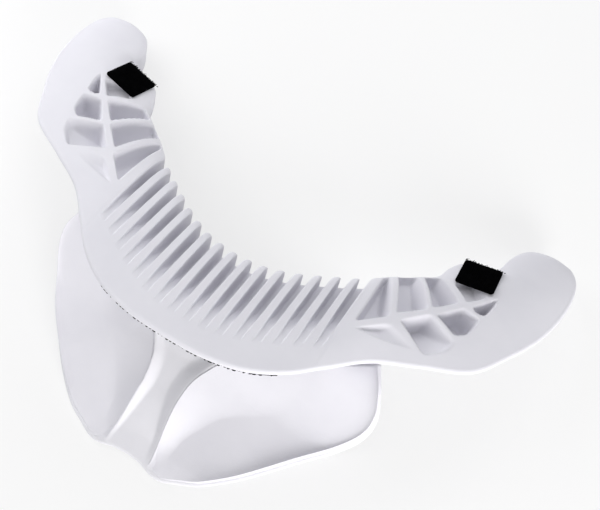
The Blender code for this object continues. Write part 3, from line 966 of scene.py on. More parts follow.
    def dress(self) -> bpy.types.Object:
        """Mirror the half, lean it on the table and give it the foam.

        Returns:
            The pad.
        """
        half = self.half_rings()
        rings = np.concatenate([half[:0:-1] * (-1.0, 1.0, 1.0), half])
        pad = add_piece("collar_pad_foam", tube_shell(self.stance.collar(rings)), PAD_FOAM.material())
        settle(pad, Body.COLLAR, "collar_pad")
        return pad


@dataclass
class CollarLiner:
    """The thin foam sheet under the pad."""

    pad: CollarPad
    thickness: float = 0.0022
    gap: float = 0.0003
    edge_round: float = 0.0008
    edge_steps: int = 7
    flat_rows: tuple[float, float, int] = (0.08, 0.92, 9)
    columns: int = 150

    def dress(self) -> bpy.types.Object:
        """Carry a flat section with rounded edges along the collar, under the pad's foot.

        Returns:
            The liner.
        """
        last = len(self.pad.stations) - 1.0
        curve = spline(np.array(self.pad.stations), np.linspace(0.0, last, self.columns))
        near, far = curve[:, None, :2], curve[:, None, 2:]
        width = np.linalg.norm(far - near, axis=-1)
        foot = width - np.minimum(self.pad.undercut, self.pad.narrow_share * width)
        turn = np.linspace(-0.5, 0.5, self.edge_steps) * math.pi
        out = self.edge_round * np.cos(turn)
        rise = 0.5 * self.thickness * np.sin(turn)
        across = np.linspace(*self.flat_rows)
        runs = np.concatenate([foot - self.edge_round + out, foot * across[::-1],
                               self.gap + self.edge_round - out + 0.0 * foot, foot * across], axis=1)
        level = np.full(len(across), 0.5 * self.thickness)
        rises = np.concatenate([rise, level, rise[::-1], -level])
        middle = -self.pad.depth - self.gap - 0.5 * self.thickness
        plan = near + (far - near) * (runs / width)[..., None]
        height = np.broadcast_to(middle + rises, runs.shape)
        half = np.concatenate([plan, height[..., None]], axis=-1)
        rings = np.concatenate([half[:0:-1] * (-1.0, 1.0, 1.0), half])
        shell = tube_shell(self.pad.stance.collar(rings))
        liner = add_piece("collar_liner_foam", shell, LINER_FOAM.material())
        settle(liner, Body.COLLAR, "collar_liner")
        return liner


# Tapes


@dataclass(frozen=True)
class YarnField:
    """Many short bent yarns standing on a tape: hooks, loops or loose ends."""

    height: float = 0.0008
    radius: float = 0.00010
    bow: tuple[tuple[float, float], ...] = ((0.0, 0.0), (0.0, 0.5), (0.1, 0.85), (0.35, 1.0), (0.5, 0.72))
    sides: int = 4

    def shell(
        self, roots: np.ndarray, heading: np.ndarray, up: np.ndarray, stretch: np.ndarray
    ) -> tuple[np.ndarray, list[np.ndarray]]:
        """Carry a small polygon along the bow at every root.

        A yarn's path leaves its root along up and bends towards its heading, each scaled by its stretch.
        The polygon lies across the path's slope.

        Args:
            roots: Root points.
            heading: Unit directions of the bends.
            up: Unit directions away from the tape.
            stretch: Length of each yarn over the common height.

        Returns:
            The points and faces of all the yarns.
        """
        bow = np.array(self.bow) * self.height
        slope = np.gradient(bow, axis=0)
        slope /= np.linalg.norm(slope, axis=1)[:, None]
        turn = np.linspace(0.0, 2.0 * math.pi, self.sides, endpoint=False)
        aside = np.cross(up, heading)
        size = stretch[:, None, None]
        path = roots[:, None] + size * (bow[:, :1] * heading[:, None] + bow[:, 1:] * up[:, None])
        normal = slope[:, 1:] * heading[:, None] - slope[:, :1] * up[:, None]
        wave = np.cos(turn)[:, None] * normal[:, :, None] + np.sin(turn)[:, None] * aside[:, None, None]
        points = path[:, :, None] + self.radius * wave
        count, rings, sides = len(roots), len(bow), self.sides
        one = grid_faces(rings, sides, wrap=True)
        start = np.arange(count)[:, None, None] * rings * sides
        ends = np.stack([np.arange(sides)[::-1], np.arange(sides) + (rings - 1) * sides])
        faces = [(start + one).reshape(-1, 4), (start + ends).reshape(-1, sides)]
        return points.reshape(-1, 3), turned_out(points.reshape(-1, 3) - roots.mean(axis=0), faces)


def plate_rings(
    outline: np.ndarray,
    thickness: float,
    edge: float,
    faces: tuple[float, ...] = (0.7, 0.4),
    steps: int = 7,
) -> np.ndarray:
    """Rings of a plate with a rounded edge: the outline shrunk towards its middle while the height rises.

    Args:
        outline: Plan corners round the plate.
        thickness: Thickness of the plate, standing on z = 0.
        edge: Radius of its edge.
        faces: Shares of the way to the middle at which each flat face has a ring.
        steps: Rings round the edge.

    Returns:
        Rings from the middle of the lower face to the middle of the upper face.
    """
    turn = np.linspace(-0.5, 0.5, steps) * math.pi
    flat = np.zeros(len(faces))
    inset = np.concatenate([faces, 0.0 * turn, faces[::-1]])
    swell = np.concatenate([flat, edge * (1.0 - np.cos(turn)), flat])
    rise = np.concatenate([flat - 1.0, np.sin(turn), flat + 1.0])
    middle = outline.mean(axis=0)
    away = outline - middle
    reach = np.linalg.norm(away, axis=1)[:, None]
    plan = middle + away * (1.0 - inset[:, None, None] - swell[:, None, None] / reach)
    height = np.broadcast_to(0.5 * thickness * (1.0 + rise)[:, None], plan.shape[:2])
    return np.concatenate([plan, height[..., None]], axis=-1)


def rounded_square(size: float, corner: float, steps: int = 9) -> np.ndarray:
    """Outline of a square whose corners are quarter circles.

    Args:
        size: Length of a side.
        corner: Radius of a corner.
        steps: Points on each corner.

    Returns:
        Plan points round the square.
    """
    turn = np.linspace(0.0, 0.5 * math.pi, steps)
    quarter = np.arange(4)[:, None] * 0.5 * math.pi
    centre = (0.5 * size - corner) * math.sqrt(2.0)
    x = centre * np.cos(quarter + 0.25 * math.pi) + corner * np.cos(quarter + turn)
    y = centre * np.sin(quarter + 0.25 * math.pi) + corner * np.sin(quarter + turn)
    return np.stack([x, y], axis=-1).reshape(-1, 2)


def grid_points(across: np.ndarray, along: np.ndarray) -> tuple[np.ndarray, np.ndarray]:
    """All pairs of places across and along, row by row, as two flat arrays."""
    x, y = np.meshgrid(across, along)
    return x.ravel(), y.ravel()


def flat_headings(way: np.ndarray) -> np.ndarray:
    """Unit directions in a tape's plane, at angles from x."""
    return np.stack([np.cos(way), np.sin(way), np.zeros_like(way)], axis=-1)


def unit(rows: np.ndarray) -> np.ndarray:
    """Rows scaled to a length of one."""
    return rows / np.linalg.norm(rows, axis=1)[:, None]


@dataclass
class HookTab:
    """A square of hook tape on a tip: a woven plate with rows of small hooks and a frayed back edge."""

    stance: Stance
    seat: TabSeat
    side: Side
    plate: float = 0.0011
    edge: float = 0.0004
    corner_steps: int = 13
    bow: float = 0.0008
    twist: float = math.radians(-4.0)
    seed: int = 11
    hooks: int = 17
    margin: float = 0.0009
    sink: float = 0.0001
    wander: float = 0.00012
    sway: float = 0.35
    hook_stretch: tuple[float, float, float] = (0.9, 0.08, 7.0)
    fringe: int = 90
    fringe_yarn: YarnField = YarnField(height=0.0014, radius=0.00014)
    fringe_wander: float = 0.0003
    fringe_inset: float = 0.0003
    fringe_level: float = 0.6
    fringe_lean: tuple[float, float] = (0.6, 0.3)
    fringe_stretch: tuple[float, float, float] = (0.6, 0.3, 5.0)

    def plate_shell(self) -> tuple[np.ndarray, list[np.ndarray]]:
        """Rounded square plate whose front edge bows as a parabola.

        Returns:
            The points and the faces.
        """
        outline = rounded_square(self.seat.size, self.seat.corner, self.corner_steps)
        bow = self.bow * (0.5 - (2.0 * outline[:, 0] / self.seat.size) ** 2)
        outline[:, 1] -= np.where(outline[:, 1] < 0.0, bow, 0.0)
        return tube_shell(plate_rings(outline, self.plate, self.edge))

    def hook_shell(self, draws: np.ndarray, heading: np.ndarray) -> tuple[np.ndarray, list[np.ndarray]]:
        """Rows of hooks on the plate, a little off their places and of uneven length.

        Args:
            draws: Three rows of random draws, with a column for each hook.
            heading: Direction of each hook's bend.

        Returns:
            The points and the faces.
        """
        reach = 0.5 * self.seat.size - self.margin
        line = np.linspace(-reach, reach, self.hooks)
        x, y = grid_points(line, line)
        level = np.full_like(x, self.plate - self.sink)
        roots = np.stack([x + self.wander * draws[0], y + self.wander * draws[1], level], axis=-1)
        up = np.tile((0.0, 0.0, 1.0), (len(x), 1))
        mean, spread, waves = self.hook_stretch
        return YarnField().shell(roots, heading, up, mean + spread * np.sin(waves * draws[0]))

    def fringe_shell(self, draws: np.ndarray, heading: np.ndarray) -> tuple[np.ndarray, list[np.ndarray]]:
        """Loose ends along the back edge, each leaning out of it its own way.

        Args:
            draws: Three rows of random draws, with a column for each end.
            heading: Direction of each end's bend.

        Returns:
            The points and the faces.
        """
        half = 0.5 * self.seat.size
        x = np.linspace(-half, half, self.fringe) + self.fringe_wander * draws[0]
        ones = np.ones_like(x)
        y, z = half - self.fringe_inset, self.fringe_level * self.plate
        roots = np.stack([x, y * ones, z * ones], axis=-1)
        aside, lift = self.fringe_lean
        lean = unit(np.stack([aside * draws[1], ones, lift * draws[2]], axis=-1))
        mean, spread, waves = self.fringe_stretch
        return self.fringe_yarn.shell(roots, heading, lean, mean + spread * np.sin(waves * draws[1]))

    def dress(self) -> bpy.types.Object:
        """Stand the plate with its hooks and loose ends in the tab's tilted frame.

        The rows of hooks bend to and fro.

        Returns:
            The tab.
        """
        count = self.hooks**2
        draws = np.random.default_rng(self.seed).normal(0.0, 1.0, (3, count))
        to_and_fro = np.where(np.arange(count) // self.hooks % 2 == 0, 0.0, math.pi)
        heading = flat_headings(to_and_fro + self.sway * draws[2])
        hooks = self.hook_shell(draws, heading)
        loose = self.fringe_shell(draws[:, : self.fringe], heading[: self.fringe])
        points, faces = joined(self.plate_shell(), hooks, loose)
        if self.side is Side.LEFT:
            points = points @ np.array(Matrix.Rotation(self.twist, 3, "Z")).T
        frame = self.seat.frame(self.side)
        points = points @ frame[:3, :3].T + frame[:3, 3]
        name = self.side.name.lower() + "_tip_hook_tab"
        tab = add_piece(name + "_tape", (self.stance.collar(points), faces), HOOK_TAPE.material())
        settle(tab, Body.COLLAR, name)
        return tab


@dataclass
class SeamTape:
    """The hook strip under the collar's front and its loop strip on the bib's neck."""

    pad: CollarPad
    liner: CollarLiner
    thickness: float = 0.0015
    plate: float = 0.0009
    edge: float = 0.0003
    sink: float = 0.0001
    pile: float = 0.00055
    hook_length: float = 0.0980
    hook_width: float = 0.0400
    hook_reach: float = 0.0012
    hook_columns: int = 90
    hook_margin: float = 0.0010
    hook_grid: tuple[int, int] = (66, 14)
    hook_seed: int = 5
    loop_length: float = 0.0460
    loop_width: float = 0.0140
    loop_front: float = -0.0215
    loop_corner: float = 0.06
    loop_margin: float = 0.0009
    loop_grid: tuple[int, int] = (40, 13)
    loop_radius: float = 0.00007
    loop_bow: tuple[tuple[float, float], ...] = (
        (0.0, 0.0),
        (0.05, 0.7),
        (0.5, 1.0),
        (0.95, 0.7),
        (1.0, 0.0),
    )
    loop_seed: int = 3
    flap_ends: tuple[float, float] = (-0.0405, 0.0495)
    flap_edge: tuple[float, float] = (0.0007, 0.0022)
    flap_columns: int = 420
    flap: tuple[tuple[float, float], ...] = (
        (0.0000, -0.0031),
        (0.0012, -0.00325),
        (0.0024, -0.0036),
        (0.0050, -0.0060),
        (0.0080, -0.0087),
        (0.0101, -0.0108),
        (0.0106, -0.0154),
        (0.0096, -0.0156),
        (0.0093, -0.0112),
        (0.0075, -0.0096),
        (0.0045, -0.0070),
        (0.0024, -0.0047),
        (0.0012, -0.0042),
        (0.0000, -0.0039),
    )
    wear: tuple[float, float] = (0.5, 0.6)
    wear_waves: tuple[tuple[float, float, float], ...] = (
        (1.0, 2900.0, 0.0),
        (1.0, 1750.0, 1.0),
        (0.8, 640.0, 2.0),
    )
    fringe: int = 220
    fringe_yarn: YarnField = YarnField(height=0.0006, radius=0.00009)
    fringe_inset: float = 0.0004
    fringe_level: float = -0.0035
    fringe_spread: float = 0.5
    fringe_lift: float = 0.4
    fringe_stretch: tuple[float, float] = (0.2, 1.0)
    fringe_wear: float = 0.8

    def hook_front(self, x: np.ndarray) -> np.ndarray:
        """Front edge of the hook strip: the liner's outer edge moved out by the reach.

        Args:
            x: Places across.

        Returns:
            The y of the edge at each place.
        """
        _, inner, outer = self.pad.edge_tables()
        width = np.linalg.norm(outer - inner, axis=1)[:, None]
        foot = width - np.minimum(self.pad.undercut, self.pad.narrow_share * width) + self.hook_reach
        edge = inner + (outer - inner) * foot / width
        return np.interp(np.abs(x), edge[:, 0], edge[:, 1])

    def lip_front(self, x: np.ndarray) -> np.ndarray:
        """Front of the pad's lip at places across, as a y."""
        _, _, outer = self.pad.edge_tables()
        return np.interp(np.abs(x), outer[:, 0], outer[:, 1])

    def worn(self, x: np.ndarray) -> np.ndarray:
        """Wear of the flap's edge from 0 to 1, the ramp of a sum of waves across."""
        waves = sum(height * np.sin(rate * x + start) for height, rate, start in self.wear_waves)
        return ramp(self.wear[0] + self.wear[1] * waves)

    def flap_shell(self, rng: np.random.Generator) -> tuple[np.ndarray, list[np.ndarray]]:
        """Front of the tape turned up the undercut to the lip, with a ragged edge and loose ends.

        Its section runs along x behind the lip's front, and nothing of it stands before an edge that comes
        and goes between two depths with the wear.

        Args:
            rng: Source of the loose ends' spread.

        Returns:
            The points, in the collar's frame, and the faces.
        """
        near, far = self.flap_edge
        x = np.linspace(*self.flap_ends, self.flap_columns)
        section = np.array(self.flap)
        edge = near + (far - near) * self.worn(x)
        y = self.lip_front(x)[:, None] + np.maximum(section[:, 0], edge[:, None])
        rings = np.stack(np.broadcast_arrays(x[:, None], y, section[:, 1]), axis=-1)
        at = np.sort(rng.uniform(*self.flap_ends, self.fringe))
        level = np.full_like(at, self.fringe_level)
        roots = np.stack([at, self.lip_front(at) + near + self.fringe_inset, level], axis=-1)
        spread = rng.normal(0.0, self.fringe_spread, (2, len(at)))
        out = unit(np.stack([spread[0], -np.ones(len(at)), self.fringe_lift * spread[1]], axis=-1))
        bend = unit(np.cross(out, (0.0, 0.0, 1.0)))
        size = rng.uniform(*self.fringe_stretch, len(at)) * (1.0 - self.fringe_wear * self.worn(at))
        return joined(tube_shell(rings), self.fringe_yarn.shell(roots, bend, out, size))

    def level(self, layer: int) -> float:
        """Height of the lower face of the first or second layer of tape, in the collar's frame."""
        gaps = (layer + 1) * self.liner.gap
        return -self.pad.depth - self.liner.thickness - gaps - layer * self.thickness

    def strip(
        self, name: str, finish: TapeFinish, layer: int, shell: tuple[np.ndarray, list[np.ndarray]]
    ) -> bpy.types.Object:
        """Lift a strip to its layer under the collar and make the piece.

        Args:
            name: Name of the piece.
            finish: Its finish.
            layer: Number of its layer under the liner.
            shell: Points over z = 0, and faces.

        Returns:
            The piece.
        """
        points, faces = shell
        points = self.pad.stance.collar(points + (0.0, 0.0, self.level(layer)))
        return add_piece(name, (points, faces), finish.material())

    def dress_hooks(self) -> bpy.types.Object:
        """Hook strip along the collar's front, its hooks hanging down and its front turned up to the lip.

        Returns:
            The strip.
        """
        half = 0.5 * self.hook_length
        x = np.linspace(-half, half, self.hook_columns)
        front = np.column_stack([x, self.hook_front(x)])
        outline = np.concatenate([front, front[::-1] + (0.0, self.hook_width)])
        base = self.thickness - self.plate
        plate = tube_shell(plate_rings(outline, self.plate, self.edge) + (0.0, 0.0, base))
        columns, rows = self.hook_grid
        line = np.linspace(-half + self.hook_margin, half - self.hook_margin, columns)
        back = np.linspace(self.hook_margin, self.hook_width - self.hook_margin, rows)
        hook_x, hook_back = grid_points(line, back)
        level = np.full_like(hook_x, base + self.sink)
        roots = np.stack([hook_x, self.hook_front(hook_x) + hook_back, level], axis=-1)
        rng = np.random.default_rng(self.hook_seed)
        heading = flat_headings(rng.uniform(0.0, 2.0 * math.pi, len(roots)))
        down = np.tile((0.0, 0.0, -1.0), (len(roots), 1))
        hooks = YarnField(height=self.pile).shell(roots, heading, down, np.ones(len(roots)))
        flap, flap_faces = self.flap_shell(rng)
        shell = joined(plate, hooks, (flap - (0.0, 0.0, self.level(1)), flap_faces))
        strip = self.strip("front_hook_strip_tape", HOOK_TAPE, 1, shell)
        settle(strip, Body.COLLAR, "front_hook_strip")
        return strip

    def dress_loops(self) -> bpy.types.Object:
        """Loop strip on the bib's neck, with a low pile of closed loops.

        Returns:
            The strip.
        """
        size = np.array([self.loop_length, self.loop_width])
        outline = rounded_square(1.0, self.loop_corner) * size
        plate = tube_shell(plate_rings(outline, self.plate, self.edge))
        reach = 0.5 * size - self.loop_margin
        x, y = grid_points(*(np.linspace(-end, end, count) for end, count in zip(reach, self.loop_grid)))
        roots = np.stack([x, y, np.full_like(x, self.plate - self.sink)], axis=-1)
        rng = np.random.default_rng(self.loop_seed)
        heading = flat_headings(rng.uniform(0.0, 2.0 * math.pi, len(roots)))
        up = np.tile((0.0, 0.0, 1.0), (len(roots), 1))
        yarn = YarnField(height=self.pile, radius=self.loop_radius, bow=self.loop_bow)
        points, faces = joined(plate, yarn.shell(roots, heading, up, np.ones(len(roots))))
        points = points + (0.0, self.loop_front + 0.5 * self.loop_width, 0.0)
        strip = self.strip("chest_loop_strip_tape", LOOP_TAPE, 2, (points, faces))
        settle(strip, Body.BIB, "chest_loop_strip")
        return strip


# Bib


@dataclass
class ChestBib:
    """The arched backing sheet with its flange, and the two dished lobes on it."""

    pad: CollarPad
    liner: CollarLiner
    tape: SeamTape
    rim: tuple[tuple[float, float], ...] = (
        (0.0000, -0.1070),
        (0.0080, -0.1078),
        (0.0155, -0.1098),
        (0.0220, -0.1096),
        (0.0300, -0.1062),
        (0.0400, -0.1012),
        (0.0530, -0.0905),
        (0.0650, -0.0780),
        (0.0772, -0.0640),
        (0.0870, -0.0512),
        (0.0934, -0.0395),
        (0.0940, -0.0290),
        (0.0890, -0.0180),
    )
    top_edge: tuple[tuple[float, float], ...] = (
        (0.0000, -0.0125),
        (0.0300, -0.0125),
        (0.0480, -0.0110),
        (0.0640, -0.0080),
        (0.0820, -0.0060),
    )
    thickness: float = 0.0024
    edge_round: float = 0.0016
    flange: float = 0.0035
    rise: tuple[float, float, float, float] = (-0.0970, 0.0470, 0.0160, 1.35)
    rise_softness: float = 0.09
    side_power: float = 1.3
    back: tuple[float, float, float] = (-0.0560, 0.0410, 0.0240)
    neck: tuple[float, float] = (-0.0365, -0.0280)
    neck_half_width: float = 0.0250
    neck_side_run: float = 0.0090
    channel_middle: float = -0.0007
    # y, half width at the crests, width of a bank, share of the ridge, reach of the ridge
    channel: tuple[tuple[float, float, float, float, float], ...] = (
        (-0.1075, 0.0130, 0.0034, 0.04, 0.0060),
        (-0.1040, 0.0129, 0.0036, 0.15, 0.0064),
        (-0.0970, 0.0122, 0.0041, 0.38, 0.0074),
        (-0.0900, 0.0115, 0.0050, 0.68, 0.0092),
        (-0.0850, 0.0110, 0.0058, 0.85, 0.0115),
        (-0.0784, 0.0106, 0.0070, 1.00, 0.0165),
        (-0.0720, 0.0106, 0.0088, 1.00, 0.0215),
        (-0.0645, 0.0115, 0.0096, 1.00, 0.0280),
        (-0.0588, 0.0133, 0.0104, 1.00, 0.0310),
        (-0.0524, 0.0168, 0.0108, 1.00, 0.0330),
        (-0.0470, 0.0206, 0.0110, 1.00, 0.0340),
        (-0.0430, 0.0245, 0.0110, 0.90, 0.0340),
        (-0.0360, 0.0300, 0.0110, 0.00, 0.0340),
    )
    channel_run: tuple[float, float] = (-0.1060, -0.0430)
    lobe_front_x: float = 0.0200
    lobe_inset: float = 0.0016
    lobe_field: float = 0.0014
    lobe_swell: tuple[float, float] = (0.0068, 0.0760)
    lobe_ridge: float = 0.0100
    channel_floor: float = 0.0055
    ridge_power: float = 1.6
    bank_share: tuple[float, float] = (0.68, 1.00)
    crest_cut: tuple[float, float] = (0.70, 0.94)
    bank_fade: float = 0.0032
    rim_rise: float = 0.0011
    rim_edge: float = 0.0007
    rim_reach: float = 0.0019
    dish_rise: tuple[float, float] = (0.0022, 0.0120)
    dish_run: tuple[float, float] = (0.0480, 0.0300)
    back_round: float = 0.0012
    front_fade: tuple[float, float] = (-0.1110, 0.0150)
    front_lip: tuple[float, float] = (0.0009, 0.0045)
    front_lip_reach: tuple[float, float] = (0.0160, 0.0280)
    lobe_gap: float = 0.0001
    least_edge: float = 0.00012
    least_room: float = 0.0010
    least_full: float = 0.08
    slope_step: float = 0.0004
    most_stretch: float = 2.0
    rim_steps: int = 160
    channel_steps: int = 240
    sheet_grid: tuple[int, int] = (150, 110)
    sheet_spread: float = 1.4
    lobe_grid: tuple[int, int] = (150, 130)

    def half_outline(self) -> np.ndarray:
        """Fine rim of one half from the front middle to the top corner."""
        path = even_curve(np.array(self.rim), np.linspace(0.0, 1.0, self.rim_steps))
        return np.vstack([path, self.top_edge[-1:]])

    def channel_at(self, y: np.ndarray) -> tuple[np.ndarray, ...]:
        """Half width at the crests, width of the banks, share of the ridge and its reach, by place.

        Args:
            y: Places along.

        Returns:
            The four values at each place, read from a smooth curve through the table.
        """
        at = np.linspace(0.0, len(self.channel) - 1.0, self.channel_steps)
        path = spline(np.array(self.channel), at)
        return tuple(np.interp(y, path[:, 0], path[:, column]) for column in range(1, path.shape[1]))

    def bank(self, plan: np.ndarray) -> np.ndarray:
        """Rise of the sheet from the channel's floor to its two crests.

        The rise is a smooth ramp that is cut short at the crest, and fades under the lobe as an
        exponential. The left bank is the shorter and steeper of the two.

        Args:
            plan: Plan points.

        Returns:
            A height for each point.
        """
        x = np.abs(plan[..., 0] - self.channel_middle)
        left = plan[..., 0] < self.channel_middle
        crest, width, share, _ = self.channel_at(plan[..., 1])
        width = width * np.where(left, *self.bank_share)
        cut = np.where(left, *self.crest_cut)
        climb = ramp(cut * np.clip(1.0 - (crest - x) / width, 0.0, 1.0)) / ramp(cut)
        rise = self.channel_floor + (self.lobe_ridge - self.channel_floor) * climb
        return share * rise * np.exp(-np.maximum(x - crest, 0.0) / self.bank_fade)

    def height(self, plan: np.ndarray) -> np.ndarray:
        """Height of the sheet's upper face over the table, apart from the banks of the channel.

        The middle rises as a power of the distance behind the front and falls to the flange at the sides.
        The back turns up under the collar, where the middle eases into the neck, a land parallel to the
        collar.

        Args:
            plan: Plan points.

        Returns:
            A height for each point.
        """
        x, y = np.abs(plan[..., 0]), plan[..., 1]
        start, reach, rise, power = self.rise
        side = self.half_outline()
        room = np.maximum(np.interp(y, side[:, 1], side[:, 0]) - self.flange, self.least_room)
        arch = np.clip(1.0 - (x / room) ** 2, 0.0, None) ** self.side_power
        run = np.maximum((y - start) / reach, 0.0)
        soft = self.rise_softness
        capped = np.maximum(-soft * np.log(np.exp(-run / soft) + math.exp(-1.0 / soft)), 0.0)
        up = rise * capped**power
        back = self.back[2] * ramp((y - self.back[0]) / self.back[1])
        sheet = self.thickness + up * arch + back + self.lip(x, y)
        neck = ramp((y - self.neck[0]) / (self.neck[1] - self.neck[0]))
        neck = neck * ramp((self.neck_half_width + self.neck_side_run - x) / self.neck_side_run)
        lean = self.pad.stance.lean
        under = self.pad.depth + self.liner.thickness + 4.0 * self.liner.gap + 2.0 * self.tape.thickness
        land = self.pad.stance.lift - under / math.cos(lean) - y * math.tan(lean)
        return sheet + (land - sheet) * neck

    def lip(self, x: np.ndarray, y: np.ndarray) -> np.ndarray:
        """Rise of the sheet to its front edge across the channel, an exponential of the way from it.

        Args:
            x: Places across, without sign.
            y: Places along.

        Returns:
            A height for each point.
        """
        rim = self.half_outline()
        away = np.abs(y - np.interp(x, rim[:, 0], rim[:, 1]))
        rise, fade = self.front_lip
        low, high = self.front_lip_reach
        return rise * np.exp(-away / fade) * (1.0 - ramp((x - low) / (high - low)))

    def dress_sheet(self) -> bpy.types.Object:
        """Sheet between the front rim and the top edge, its border closing in a half round.

        Upright, the thickness is stretched by the slope up to a limit, and it never reaches below the
        table. Near the border both faces ease to the middle of the thickness as a circle does.

        Returns:
            The sheet.
        """
        columns, rows = self.sheet_grid
        across = np.linspace(0.0, 1.0, columns) ** self.sheet_spread
        front = even_curve(np.array(self.rim), across)
        back = on_path(np.array(self.top_edge), across)
        share = 0.5 - 0.5 * np.cos(np.linspace(0.0, math.pi, rows))
        half = front[:, None] + (back - front)[:, None] * share[:, None]
        plan = np.concatenate([half[:0:-1] * (-1.0, 1.0), half])
        outline = np.concatenate([front, back[::-1]])
        away = path_distance(np.stack([np.abs(plan[..., 0]), plan[..., 1]], axis=-1), outline)
        level = self.height(plan) + self.bank(plan)
        moves = self.slope_step * np.eye(2)
        slopes = [(self.height(plan + move) - self.height(plan - move)) / (2.0 * self.slope_step)
                  for move in moves]
        stretch = np.sqrt(1.0 + slopes[0] ** 2 + slopes[1] ** 2)
        thick = self.thickness * np.minimum(stretch, self.most_stretch)
        thick = np.minimum(thick, level)
        close = np.clip(away / self.edge_round, 0.0, 1.0)
        full = np.sqrt(1.0 - (1.0 - close) ** 2)
        shrink = 0.5 * thick * (1.0 - np.maximum(full, self.least_full))
        upper = self.pad.stance.bib(plan, level - shrink)
        lower = self.pad.stance.bib(plan, level - thick + shrink)
        sheet = add_piece("chest_backing_sheet_foam", slab_shell(upper, lower), LINER_FOAM.material())
        settle(sheet, Body.BIB, "chest_backing_sheet")
        return sheet

    def lobe_edge(self) -> np.ndarray:
        """Rim of one half moved inwards square to its run, from the lobe's front corner to the top.

        Returns:
            Plan points of the lobe's outer edge.
        """
        side = self.half_outline()
        run = np.gradient(side, axis=0)
        run = run / np.linalg.norm(run, axis=1)[:, None]
        moved = side + self.lobe_inset * np.column_stack([-run[:, 1], run[:, 0]])
        moved[-1, 1] -= self.lobe_inset
        return moved[moved[:, 0] >= self.lobe_front_x]

    def lobe_body(
        self, plan: np.ndarray, near: np.ndarray, far: np.ndarray, ridge: np.ndarray, reach: np.ndarray
    ) -> np.ndarray:
        """Height of a lobe over the sheet, without the channel's bank.

        It is a field that swells outwards by a ramp, plus a ridge that fades as a power of the distance
        from the channel's crest, plus a rim that rises towards the outer edge as a short exponential, and
        at the sides as a longer one. It falls to that edge and to the back as a quarter circle, and thins
        out to the front by a ramp.

        Args:
            plan: Plan points, by row along the lobe.
            near: The crest's points.
            far: The outer edge's points.
            ridge: Share of the ridge in each row.
            reach: Reach of the ridge in each row.

        Returns:
            A height for each point.
        """
        from_channel = path_distance(plan, near)
        from_rim = path_distance(plan, np.vstack([near[:1], far]))
        from_back = path_distance(plan, np.stack([near[-1], far[-1]]))
        near_ridge = np.clip(1.0 - from_channel / reach[:, None], 0.0, 1.0) ** self.ridge_power
        rim = self.rim_rise * np.exp(-np.maximum(from_rim - self.rim_edge, 0.0) / self.rim_reach)
        dish = self.dish_rise[0] * np.exp(-from_rim / self.dish_rise[1])
        rim = rim + dish * ramp((plan[..., 0] - self.dish_run[0]) / self.dish_run[1])
        swell = self.lobe_swell[0] * ramp(from_channel / self.lobe_swell[1])
        body = self.lobe_field + (self.lobe_ridge * ridge[:, None] - self.lobe_field) * near_ridge
        body = body + (rim + swell) * (1.0 - near_ridge)
        to_rim = np.clip(from_rim / self.rim_edge, 0.0, 1.0)
        to_back = np.clip(from_back / self.back_round, 0.0, 1.0)
        body = body * np.sqrt(1.0 - (1.0 - to_rim) ** 2) * np.sqrt(1.0 - (1.0 - to_back) ** 2)
        return body * ramp((plan[..., 1] - self.front_fade[0]) / self.front_fade[1])

    def dress_lobe(self, side: Side) -> bpy.types.Object:
        """One lobe: a dish between a ridge along the channel and a low rim inside the flange.

        Its rows run from the channel's crest to the outer edge, their points closer together at both ends
        by a cosine. Its lower face lies on the sheet and the channel's bank, a small gap above them, and its
        upper face is the higher of the body and the bank with a least edge.

        Args:
            side: Which lobe.

        Returns:
            The lobe.
        """
        rows, columns = self.lobe_grid
        along = np.linspace(0.0, 1.0, rows)
        y = self.channel_run[0] + (self.channel_run[1] - self.channel_run[0]) * along
        crest, _, ridge, reach = self.channel_at(y)
        near = np.column_stack([crest + self.channel_middle * side.value, y])
        far = on_path(self.lobe_edge(), along)
        share = 0.5 - 0.5 * np.cos(np.linspace(0.0, math.pi, columns))
        plan = near[:, None] + (far - near)[:, None] * share[:, None]
        body = self.lobe_body(plan, near, far, ridge, reach)
        out = plan * (side.value, 1.0)
        base, bank = self.height(out) + self.lobe_gap, self.bank(out)
        stance = self.pad.stance
        upper = stance.bib(out, base + np.maximum(body, bank + self.least_edge))
        lower = stance.bib(out, base + bank)
        name = side.name.lower() + "_chest_lobe"
        lobe = add_piece(name + "_foam", slab_shell(upper, lower), PAD_FOAM.material())
        settle(lobe, Body.BIB, name)
        return lobe


# Room


